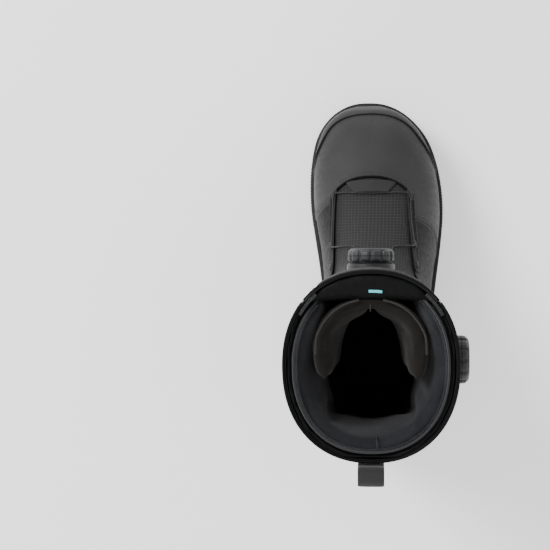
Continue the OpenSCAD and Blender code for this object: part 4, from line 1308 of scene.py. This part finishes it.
def liner_plate(name, body, nodes, t0, t1, s_from, s_to, d_out, d_in, material, ns=26, nt=60):
    obj = plate(name, lambda u, v: (mix(s_from(mix(t0, t1, v)), s_to(mix(t0, t1, v)), u), mix(t0, t1, v)),
        ns, nt, d_out, d_in, material, 0.8)
    return fit(obj, body, nodes)


const = lambda value: (lambda t: value + 0 * t)
foot_in = LINER_OUT - 4.9
liner_plate("liner_toe_box", "foot", ["liner_toe"], -179.9, 179.9, const(1.0), const(4.95), LINER_OUT,
    foot_in, LINER)
liner_plate("liner_foot_body", "foot", ["liner_foot"], 31, 329, const(5.0),
    lambda t: s_low(t, LINER_OUT) - 0.02, LINER_OUT, foot_in, LINER, 50, 90)
liner_plate("liner_instep_panel", "foot", ["liner_instep"], -30.5, 30.5, const(5.0),
    lambda t: s_low(t, LINER_OUT) - 0.02, LINER_OUT, foot_in, LINER, 30, 30)
gaiter = plate("liner_flex_gaiter", lambda u,
    v: (mix(s_low(mix(-179.9, 179.9, v), -7) - 0.35, s_high(mix(-179.9, 179.9, v), -7) + 0.35, u),
    mix(-179.9, 179.9, v)),
               20, 110, lambda u, v, s, t: -6.4 + 0.4 * np.sin(u * 10 * np.pi), -8.6, LINER)
fit(gaiter, FLEX, ())


def footbed_place(u, v):
    return mix(1.9, 9.6, u), mix(146, 214, v)


bed = plate("footbed_cover", footbed_place, 50, 30, lambda u, v, s,
    t: foot_in - 3.4 + 0.9 * np.abs(2 * v - 1) ** 3, foot_in - 0.9, INSOLE)
fit(bed, "foot", ["footbed"])
fit(plate("lasting_board_sheet", lambda u, v: (mix(0.7, 8.5, u), mix(146, 214, v)), 30, 16, 3.2, 0.5,
    BOARD), "foot", ["lasting_board"])
fit(plate("heel_cushion_pad", lambda u, v: (mix(8.6, 10, u), mix(150, 210, v)), 12, 16, 3.2, 0.5, FOAM,
    0.8), "foot", ["heel_cushion"])
for side, word in ((-1, "lateral"), (1, "medial")):
    pad = plate("ankle_pad_%s" % word, lambda u, v, side=side: (mix(13.2, 14.0, u),
        side * mix(115, 141, v)), 14, 20,
                lambda u, v, s, t: -4.3 + 1.2 * np.sin(np.pi * u) * np.sin(np.pi * v), -4.4, FOAM)
    fit(pad, "cuff", ["ankle_pads"] if side < 0 else ())


def roll_top(u, height=0.86):
    """0 along a pad's wall, growing to 1 at its rim, to round it over."""
    return np.clip((u - height) / (1 - height), 0, 1)


def rim_round(u):
    return 1 - np.sqrt(np.maximum(1 - roll_top(u) ** 2, 0))


def end_round(v, span):
    """0 along a pad, growing to 1 over its last 9 degrees at both ends; span is its whole angle."""
    tip = 1 - np.clip(np.minimum(v, 1 - v) * span / 9, 0, 1)
    return 1 - np.sqrt(1 - tip**2)


def along(points):
    """Positions of [s, t, d] points of the upper."""
    return skin(*np.array(points, float).T)


# Leg of the liner: a thick collar, open at the front, whose arms taper to rounded tips
def collar_place(u, v):
    t = mix(33, 333, v)
    drop = 0.62 * (1 - smooth(np.minimum(v, 1 - v) * 300 / 34))
    s0 = s_high(t, LINER_OUT) - 0.1
    return mix(s0, TOP_S + 0.3 - drop, u), t


def collar_out(u, v, s, t):
    round_over = 4.8 * rim_round(u)
    return leg_d(s, LINER_OUT - 0.6, -7.0) - round_over * 0.9 - 4.4 * end_round(v, 300)


def collar_in(u, v, s, t):
    round_over = 4.8 * rim_round(u)
    return leg_d(s, foot_in + 0.6, -18.6) + round_over * 0.9 + 4.4 * end_round(v,
        300) * smooth((s - 12) / 2)


collar = plate("liner_collar", collar_place, 44, 110, collar_out, collar_in, LINER)
puff(collar, 4.0, 0.0046, 0.005)
fit(collar, "cuff", ["liner_cuff"])


def on_collar(t, depth, drop):
    """Point on the collar's top: depth inwards from its outer face, drop below its rim in sections."""
    return TOP_S + 0.3 - 0.62 * (1 - smooth(np.minimum(t - 33, 333 - t) / 34)) - drop, t, -7.0 - depth


t = np.linspace(42, 324, 220)
edge = [on_collar(a, 0.9, 0.1) for a in t]
path = along(edge)
fit(tube("liner_collar_piping", path, 0.9, knit("collar_piping", 0.014, 0.034, (0.95, 0.97, 1.1), 0.0014,
    0.0002), 10), "cuff", ())
zig = []
for k, a in enumerate(np.linspace(44, 322, 330)):
    depth = 2.1 if k % 2 else 3.7
    q = on_collar(a, depth, 0.035)
    zig.append((q[0], q[1], q[2]))
zag = along(zig)
pale = thread("collar_zigzag", 0.07, (0.95, 0.97, 1.08))
fit(tube("liner_collar_zigzag", zag, 0.24, pale, 5), "cuff", ())
seam = [on_collar(184, d, drop) for d, drop in ((3.2, 0.0), (5, -0.01), (7, 0.0), (9, 0.05), (10.6, 0.13),
    (11.6, 0.3), (12.0, 0.6), (12.0, 1.0))]
fit(tube("liner_collar_back_seam", along(seam), 0.4, CABLE, 8), "cuff", ())


# Tongue of the liner: a thick U-shaped pad with a V-shaped crease at its front
def tongue_place(u, v):
    t = mix(-104, 104, v)
    drop = 0.3 * (1 - smooth(np.minimum(v, 1 - v) * 208 / 26))
    return mix(s_high(t, foot_in) - 0.05, TOP_S + 0.5 - drop, u), t


def crease(t, wide=7.0):
    return np.exp(-((t / wide) ** 2))


def tongue_out(u, v, s, t):
    round_over = 4.6 * rim_round(u)
    return leg_d(s, foot_in - 1.0, -20.6) - round_over - 4.2 * end_round(v, 208) * smooth((s - 12) / 2)


def tongue_in(u, v, s, t):
    round_over = 4.6 * rim_round(u)
    thick = leg_d(s, 6.0, 11.4)
    rounding = 4.2 * end_round(v, 208) * smooth((s - 12) / 2)
    return leg_d(s, foot_in - 1.0, -20.6) - thick + round_over + rounding + 3.2 * crease(t)


lining = plate("liner_tongue_pad", tongue_place, 44, 90, tongue_out, tongue_in, PAD)
puff(lining, 4.0, 0.0046, 0.005)
fit(lining, "cuff", ["liner_tongue"])
seam = [(TOP_S + 0.5 + a, 0.5, -20.6 - b) for a, b in ((0.012, 4.5), (0.005, 6.5), (-0.05, 8.0),
    (-0.18, 9.0), (-0.4, 9.4), (-0.8, 9.4), (-1.4, 9.4))]
fit(tube("liner_tongue_seam", along(seam), 0.42, CABLE, 8), "cuff", ())
for side in (-1, 1):
    rim_t = side * np.linspace(10, 80, 70)
    s = TOP_S + 0.5 - 0.3 * (1 - smooth((104 - np.abs(rim_t)) / 26)) - 0.12
    fit(tube("liner_tongue_piping_%s" % ("lateral" if side < 0 else "medial"),
        skin(s - 0.1 * smooth((np.abs(rim_t) - 66) / 14), rim_t,
        -21.2 - 2.2 * smooth((np.abs(rim_t) - 62) / 18)), 0.7,
             knit("tongue_piping_%d" % (side + 1), 0.012, 0.026, (1.15, 1, 0.85), 0.0014, 0.0002), 10),
             "cuff", ())

# ---------------------------------------------------------------- cuff
for side, word in ((-1, "lateral"), (1, "medial")):
    def cuff_place(u, v, side=side):
        t = side * mix(179.9, 48.4, v)
        front = np.clip((60 - np.abs(t)) / 11.6, 0, 1)
        return mix(s_high(t), TOP_S - 0.25 * front, u), t
    skin_piece = plate("cuff_%s_skin" % word, cuff_place, 44, 80, 0.0, -SHELL_T, CUFF, round_off=1.2)
    fit(skin_piece, "cuff", ["cuff_" + word])
    front = np.linspace(9.0, 16.6, 60)
    tt = side * np.full(60, 52.0)
    ok = front > float(s_high(np.array(side * 52.0))) + 0.15
    stitches("stitch_cuff_front_%s" % word, list(zip(front[ok], tt[ok], 0 * tt[ok])), "cuff", STITCH)
    stitches("stitch_cuff_front_b_%s" % word, list(zip(front[ok], tt[ok] + side * 2.4, 0 * tt[ok])), "cuff",
        STITCH)
    # Reinforcing panel at the ankle, laid on the cuff
    def yoke(u, v, side=side):
        t = side * mix(176, 96, v)
        low = s_high(t) + 0.12
        return mix(low, mix(14.9, 13.6, smooth((np.abs(t) - 96) / 70)), u), t
    patch = plate("cuff_%s_yoke" % word, yoke, 26, 50, 0.8, -0.4, VAMP, round_off=0.7)
    fit(patch, "cuff", ())
    v = np.linspace(0.03, 0.97, 80)
    s, t = yoke(np.ones(80), v)
    stitches("stitch_cuff_yoke_%s" % word, list(zip(s - 0.06, t, np.full(80, 0.8))), "cuff", STITCH)

# Padded collar of the shell: rolled rim, and a soft facing that closes the gap to the liner
def collar_arc(u, v):
    t = mix(48.7, 311.3, v)
    return mix(15.9, TOP_S + 0.22, u), t


facing = plate("shell_collar_pad", collar_arc, 12, 110, lambda u, v, s,
    t: -2.2 + 1.6 * roll_top(u, 0.8) ** 2 * (1 - roll_top(u, 0.97)),
               lambda u, v, s, t: -6.4 + 0.8 * roll_top(u, 0.7), EDGE)
puff(facing, 3.0, 0.0035, 0.0015)
fit(facing, "cuff", ())
t = np.linspace(50, 310, 200)
fit(tube("shell_collar_piping", skin(np.full(200, TOP_S + 0.02), t, -0.6), 1.15, EDGE, 10), "cuff", ())
stitches("stitch_shell_collar", [(TOP_S - 0.16, a, 0.02) for a in np.linspace(54, 306, 240)], "cuff",
    STITCH)


# Wings: moulded shoulders that carry the side dial and balance it on the other side
def wing_place(side, t0, t1, z0, z1):
    def place(u, v):
        t = side * mix(t0, t1, v)
        lo, hi = s_height(t, z0 + 10 * (v - 0.5) ** 2), s_height(t, z1 - 26 * (v - 0.35) ** 2)
        return mix(lo, hi, u), t
    return place


for side, word, t0, t1, z0, z1, top in ((-1, "lateral", 50, 110, 186, 252, 2.4),
    (1, "medial", 51, 92, 184, 250, 2.4)):
    shape = wing_place(side, t0, t1, z0, z1)
    lift = lambda u, v, s, t, top=top: top + 0.5 * np.sin(np.pi * u) * np.sin(np.pi * v)
    wing = plate("wing_%s_shell" % word, shape, 30, 44, lift, -0.5, TRIM, round_off=2.2)
    fit(wing, "cuff", ["wing_" + word])
    inner_s, inner_t = shape(np.linspace(0.12, 0.88, 40), np.full(40, 0.1))
    stitches("stitch_wing_%s" % word, list(zip(inner_s, inner_t, np.full(40, top - 0.1))), "cuff", STITCH)
    for k, w in enumerate((0.72, 0.8, 0.88)):
        if side > 0:
            s, t = shape(np.linspace(0.15, 0.85, 30), np.full(30, w))
            fit(tube("wing_%s_rib_%d" % (word, k), skin(s, t, top + 0.1), 0.7, TRIM, 8), "cuff", ())

# Backstay: a webbing strip up the heel seam, with the tab of the pull loop
def backstay_place(u, v):
    return mix(13.62, 16.95, u), mix(169.5, 190.5, v)


stay = plate("backstay_strip", backstay_place, 60, 16, 1.4, -0.3, WEB, round_off=0.7)
fit(stay, "cuff", ["backstay"])
for k, t in enumerate((171.5, 188.5)):
    stitches("stitch_backstay_%d" % k, [(s, t, 1.4) for s in np.linspace(13.7, 16.9, 90)], "cuff", STITCH)

LOOP_Y, LOOP_Z, LOOP_R, LOOP_LOW, LOOP_HALF = 151.4, 277.0, 6.6, 243.6, 9.7


def strap(name, line, width_half, thick, material, across=8):
    """Webbing along a line in the y-z plane, with slightly rounded selvedges."""
    line = np.array(line, float)
    run = np.gradient(line, axis=0)
    run /= np.linalg.norm(run, axis=1, keepdims=True)
    nrm = np.stack([-run[:, 1], run[:, 0]], -1)
    x = np.linspace(-1, 1, across + 1)
    length = np.concatenate([[0], np.cumsum(np.linalg.norm(np.diff(line, axis=0), axis=1))])
    verts, uvs, faces = [], [], []
    for k, (p, n) in enumerate(zip(line, nrm)):
        for face in (1, -1):
            for a in x[::face]:
                h = thick / 2 * (1 - 0.55 * abs(a) ** 8)
                q = p + n * h * face
                verts.append((a * width_half, q[0], q[1]))
                uvs.append((a * width_half * MM, length[k] * MM))
    m = 2 * (across + 1)
    for k in range(len(line) - 1):
        for j in range(m):
            faces.append((k * m + j, k * m + (j + 1) % m, (k + 1) * m + (j + 1) % m, (k + 1) * m + j))
    faces.append(tuple(range(m)))
    faces.append(tuple(range((len(line) - 1) * m, len(line) * m)))
    return new_object(name, verts, faces, material, uvs)


drop = [(LOOP_Y - LOOP_R, LOOP_LOW + 1.0), (LOOP_Y - LOOP_R, LOOP_LOW + 12),
    (LOOP_Y - LOOP_R - 0.2, LOOP_Z - 8)]
drop += [(LOOP_Y + LOOP_R * math.cos(a), LOOP_Z + LOOP_R * math.sin(a)) for a in np.radians(np.arange(180,
    -41, -20))]
drop += [(LOOP_Y + 1.6, LOOP_Z - 17), (LOOP_Y - LOOP_R + 2.2, LOOP_LOW + 8),
    (LOOP_Y - LOOP_R + 1.6, LOOP_LOW + 1.0)]
fit(strap("pull_loop_webbing", spline_points(drop, 6), LOOP_HALF, 1.45, WEB), "loop", ["pull_loop"])
tab = [(LOOP_Y - LOOP_R - 1.9, LOOP_LOW - 12), (LOOP_Y - LOOP_R - 1.6, LOOP_LOW - 4),
    (LOOP_Y - LOOP_R - 1.5, LOOP_LOW + 2.2)]
fit(strap("pull_loop_anchor", spline_points(tab, 6), LOOP_HALF, 1.7, WEB), "cuff", ())


def yz_stitches(name, points, body, material=STITCH):
    """Bar tacks: short threads given by end points in millimetres."""
    box = Collector()
    for a, b in points:
        a, b = np.array(a, float), np.array(b, float)
        f = (b - a) / np.linalg.norm(b - a)
        up = np.array([0.0, 1.0, 0.0])
        side = np.cross(f, up)
        loops = []
        for q, r in ((a, 0.12), (a + (b - a) * 0.2, 0.26), (a + (b - a) * 0.8, 0.26), (b, 0.12)):
            loops.append([q + side * r * math.cos(w) + up * r * math.sin(w) for w in np.linspace(0,
                2 * math.pi, 6, endpoint=False)])
        box.loops(loops)
    return fit(box.make(name, material, 80), body)


face_y = LOOP_Y - LOOP_R - 0.55
tacks = []
for z in (LOOP_LOW - 9.5, LOOP_LOW + 0.2):
    for x in np.arange(-8, 8, 2.6):
        tacks.append(((x, face_y - 0.2 + (z - LOOP_LOW) * 0.02, z),
            (x + 1.9, face_y - 0.2 + (z - LOOP_LOW) * 0.02, z)))
for k in range(4):
    for sx in (-1, 1):
        x = sx * (-7.2 + 3.8 * k)
        z = LOOP_LOW - 9 + 2.3 * k
        tacks.append(((x, face_y - 0.25, z), (x + sx * 2.4, face_y - 0.25, z + 1.6)))
yz_stitches("pull_loop_tacks", tacks, "cuff")


# ---------------------------------------------------------------- upper tongue
def upper_place(u, v):
    t = mix(-47.4, 47.4, v)
    base = s_at(t, 0, lambda p: p[..., 2] - (160 + 0.25 * np.abs(p[..., 0])), 6, 16)
    return mix(base, TOP_S + 0.1, u), t


upper = plate("upper_tongue_skin", upper_place, 44, 50, lambda u, v, s, t: 0.0, -SHELL_T, CUFF,
    round_off=1.4)
fit(upper, "tongue", ["upper_tongue"])
for k, off in enumerate((42.6, 39.8)):
    for side in (-1, 1):
        s = np.linspace(8.9, 16.8, 80)
        stitches("stitch_tongue_%s_%d" % ("lateral" if side < 0 else "medial", k),
            [(a, side * off, 0.02) for a in s], "tongue", STITCH)
for side, word in ((-1, "lateral"), (1, "medial")):
    def bellows(u, v, side=side):
        t = side * mix(57, 39, v)
        return mix(s_at(t, 0, lambda p: p[..., 2] - 172, 6, 16), TOP_S + 0.15, u), t
    low_p, top_p = skin(9.2, side * 48, -3), skin(TOP_S + 0.15, side * 48, -3)
    rise = top_p - low_p
    across = np.array([rise[2], 0, -rise[0]]) / math.hypot(rise[0], rise[2])
    mid_p = (low_p + top_p) / 2
    folds = plate("tongue_bellows_" + word, bellows, 40, 24, -2.75, lambda u, v, s,
        t: -3.2 - 1.8 * smooth((u - 0.92) / 0.05), GUSSET)
    fit(folds, ("cuff", "tongue", tuple((mid_p + across * side * 2.6) * MM),
        tuple((mid_p - across * side * 1.2) * MM)), ())
cover = plate("upper_tongue_flap", lambda u,
    v: (mix(13.9, TOP_S - 0.15, u) + 0.5 * np.abs(2 * v - 1) ** 2.4 * (1 - u), mix(-36, 36, v)), 30, 40,
              0.75, -0.5, EDGE, round_off=0.7)
fit(cover, "tongue", ())


def tongue_pad_place(u, v):
    t = mix(-48.1, 48.1, v)
    return mix(15.2, TOP_S + 0.2 - 0.16 * np.abs(2 * v - 1) ** 3, u), t


def pad_depth(u, v, s, t):
    deep = 15.5 * np.clip(np.cos(np.radians(t * 2.05)), 0, 1) ** 0.7
    return -6.3 - deep * (0.82 + 0.18 * u) + 2.2 * roll_top(u, 0.75) ** 2


pad = plate("upper_tongue_pad", tongue_pad_place, 16, 60, lambda u, v, s,
    t: -2.2 + 1.4 * roll_top(u, 0.8) ** 2 * (1 - roll_top(u, 0.97)), pad_depth, EDGE)
puff(pad, 3.0, 0.004, 0.002)
fit(pad, "tongue", ())
t = np.linspace(-47.6, 47.6, 80)
fit(tube("upper_tongue_piping", skin(TOP_S + 0.06 - 0.16 * np.abs(t / 48) ** 3, t, -0.7), 1.2, EDGE, 10),
    "tongue", ())
# Small blank woven tag on the facing
label = plate("tongue_tag_blank", lambda u, v: (mix(TOP_S + 0.19, TOP_S + 0.21, u),
    mix(-1, 1, v) * 4.6 - 3.2), 4, 10, -14.2, -16.2, TEAL)
fit(label, "tongue", ())


# ---------------------------------------------------------------- dials
def lathe(name, profile, material, ripple=None, seg=96, angle=40, turn=None):
    """Surface turned about +z; ripple(angle, r, z) changes the radius."""
    ang = np.linspace(0, 2 * math.pi, seg, endpoint=False)
    verts, faces = [], []
    for r, z in profile:
        for a in ang:
            q = ripple(a, r, z) if ripple else r
            verts.append((q * math.cos(a), q * math.sin(a), z))
    n = len(profile)
    for i in range(n - 1):
        for j in range(seg):
            a, b = i * seg + j, i * seg + (j + 1) % seg
            faces.append((a, b, b + seg, a + seg))
    faces.append(tuple(range(seg - 1, -1, -1)))
    faces.append(tuple((n - 1) * seg + j for j in range(seg)))
    v = np.array(verts)
    if turn is not None:
        v = turn(v)
    return new_object(name, v, faces, material, smooth_angle=angle)


def to_tongue(v):
    """Dial coordinates to the tongue's dial, whose axis points forwards."""
    return np.stack([v[:, 0], -4.6 - v[:, 2], 186 + v[:, 1]], -1)


def to_side(v):
    """Dial coordinates to the side dial, whose axis points sideways."""
    return np.stack([-62.4 - v[:, 2], 69 + v[:, 0], 215 + v[:, 1]], -1)


def knurl(a, r, z):
    if r < 17.2:
        return r
    lobe = (0.5 + 0.5 * math.cos(12 * a)) ** 6
    return r - 1.5 * lobe + 0.10 * math.cos(72 * a)


for place, word, base_top in ((to_tongue, "tongue", -4.6), (to_side, "side", -5.0)):
    body = word if word == "tongue" else "cuff"
    cup = lathe(word + "_dial_cup", [(0.1, base_top), (17.4, base_top), (18.9, base_top + 0.5),
        (19.2, base_top + 1.6), (19.0, -0.2), (17.6, 0.9),
                                     (15.6, 1.3), (15.3, 2.0), (0.1, 2.0)], DIAL_BASE, angle=35, turn=place)
    fit(cup, body, [word + "_dial_housing"])
    teeth = Collector()
    for k in range(36):
        a = 2 * math.pi * k / 36
        ring = []
        for r, w, z in ((15.0, 0.045, 1.6), (16.3, 0.03, 1.6), (16.3, 0.03, 2.25), (15.0, 0.045, 2.25)):
            ring.append((r, w, z))
        q = [[r * math.cos(a + s * w), r * math.sin(a + s * w), z] for s in (-1, 1) for r, w, z in ring]
        q = place(np.array(q))
        teeth.loops([list(q[:4]), list(q[4:])])
    fit(teeth.make(word + "_dial_teeth", DIAL_BASE), body, ())
    knob = lathe(word + "_dial_face", [(0.1, 10.6), (3.2, 10.6), (3.6, 10.9), (10.4, 11.1), (10.8, 11.7),
        (11.2, 12.25), (14.6, 12.6), (15.8, 12.35),
                                       (16.9, 11.4), (17.1, 10.4), (17.1, 2.6), (16.4, 2.45), (15.5, 2.5),
                                       (15.5, 9.0), (0.1, 9.0)], DIAL, turn=place)
    fit(knob, word + "_knob", [word + "_dial_knob"])
    grip = lathe(word + "_dial_grip_ring", [(16.6, 2.7), (17.9, 2.8), (18.45, 3.4), (18.6, 4.3),
        (18.55, 6.6), (18.5, 8.6), (18.2, 9.9), (17.3, 11.0), (16.6, 11.2)],
                 DIAL, knurl, seg=288, turn=place)
    fit(grip, word + "_knob", [word + "_dial_grip"])
    band = lathe(word + "_dial_band", [(17.3, 6.15), (18.72, 6.2), (18.72, 6.9), (17.3, 6.95)], GRIP,
        lambda a, r, z: r - 1.45 * (0.5 + 0.5 * math.cos(12 * a)) ** 6 if r > 18 else r, seg=288,
        turn=place)
    fit(band, word + "_knob", ())
    for k, (r0, z0) in enumerate(((5.4, 11.0), (8.2, 11.1))):
        ring = lathe("%s_dial_ring_%d" % (word, k), [(r0 - 0.45, z0 - 0.2), (r0 - 0.3, z0 + 0.2),
            (r0 + 0.3, z0 + 0.2), (r0 + 0.45, z0 - 0.2)], DIAL_BASE, turn=place)
        fit(ring, word + "_knob", ())
    arrow = Collector()
    for k in range(3):
        a0 = 2 * math.pi * k / 3
        outer = [(13.6 * math.cos(a0 + w), 13.6 * math.sin(a0 + w)) for w in np.linspace(0, 0.85, 9)]
        inner = [(12.6 * math.cos(a0 + w), 12.6 * math.sin(a0 + w)) for w in np.linspace(0.85, 0, 9)]
        loop = outer + [(14.6 * math.cos(a0 + 0.86), 14.6 * math.sin(a0 + 0.86)),
            (13.1 * math.cos(a0 + 1.04), 13.1 * math.sin(a0 + 1.04)),
                        (11.7 * math.cos(a0 + 0.86), 11.7 * math.sin(a0 + 0.86))] + inner
        arrow.loops([list(place(np.array([(x, y, z) for x, y in loop]))) for z in (12.2, 12.75)])
    fit(arrow.make(word + "_dial_turn_marks", DIAL_BASE), word + "_knob", ())

# CAD pieces inside the dials keep their shape and get finer materials
for word in ("tongue", "side"):
    for part, material in (("spool", ACETAL), ("pawls", DIAL), ("screw", STEEL)):
        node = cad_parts["%s_dial_%s" % (word, part)]
        node.data.materials.clear()
        node.data.materials.append(material)

# ---------------------------------------------------------------- camera, floor and lights
scene = bpy.context.scene
camera_data = bpy.data.cameras.new("camera")
camera_data.lens, camera_data.sensor_width = 91.44, 36
camera_data.clip_start, camera_data.clip_end = 0.01, 50
camera = bpy.data.objects.new("camera", camera_data)
scene.collection.objects.link(camera)
forward = Vector((math.sin(math.radians(3.93)), 0, -math.cos(math.radians(3.93))))
camera.location = (0, 0.0039, 1.3)
right = forward.cross(Vector((0, -1, 0))).normalized()
up = right.cross(forward)
camera.matrix_world = Matrix((
    (right.x, up.x, -forward.x, 0), (right.y, up.y, -forward.y, 0.0039), (right.z, up.z, -forward.z, 1.3),
    (0, 0, 0, 1)))
scene.camera = camera

floor_mesh = bpy.data.meshes.new("floor")
floor_mesh.from_pydata([(-6, -6, -0.0008), (6, -6, -0.0008), (6, 6, -0.0008), (-6, 6, -0.0008)], [],
    [(0, 1, 2, 3)])
floor = bpy.data.objects.new("floor", floor_mesh)
scene.collection.objects.link(floor)
pale = Finish("floor_pale", 0.9, 0.1)
pale.colour(grey(0.93))
pale.shader.inputs["Emission Color"].default_value = (1, 1, 1, 1)
pale.shader.inputs["Emission Strength"].default_value = 0.6
geometry = pale.node("ShaderNodeNewGeometry")
clear = pale.node("ShaderNodeBsdfTransparent")
both = pale.node("ShaderNodeMixShader")
pale.put(geometry.outputs["Backfacing"], both.inputs[0])
pale.put(pale.shader.outputs[0], both.inputs[1])
pale.put(clear.outputs[0], both.inputs[2])
pale.put(both.outputs[0], pale.tree.nodes["Material Output"].inputs["Surface"])
floor_mesh.materials.append(pale.mat)
floor.visible_diffuse = floor.visible_shadow = False

world = bpy.data.worlds.new("studio")
world.use_nodes = True
world.node_tree.nodes["Background"].inputs["Color"].default_value = (1, 1, 1, 1)
world.node_tree.nodes["Background"].inputs["Strength"].default_value = 0.8
scene.world = world


def softbox(name, at, target, size, power):
    data = bpy.data.lights.new(name, "AREA")
    data.shape, data.size, data.energy = "DISK", size, power
    light = bpy.data.objects.new(name, data)
    light.location = at
    light.rotation_euler = (Vector(target) - Vector(at)).to_track_quat("-Z", "Y").to_euler()
    scene.collection.objects.link(light)


softbox("key", (1.25, -0.9, 1.6), (0, 0, 0.1), 0.9, 46)
softbox("fill", (-1.2, 0.5, 1.2), (0, 0, 0.12), 1.1, 2)
softbox("back", (0.3, 1.5, 1.1), (0, 0, 0.12), 0.9, 9)
softbox("under", (0.25, -0.5, -1.3), (0, 0, 0), 1.0, 20)
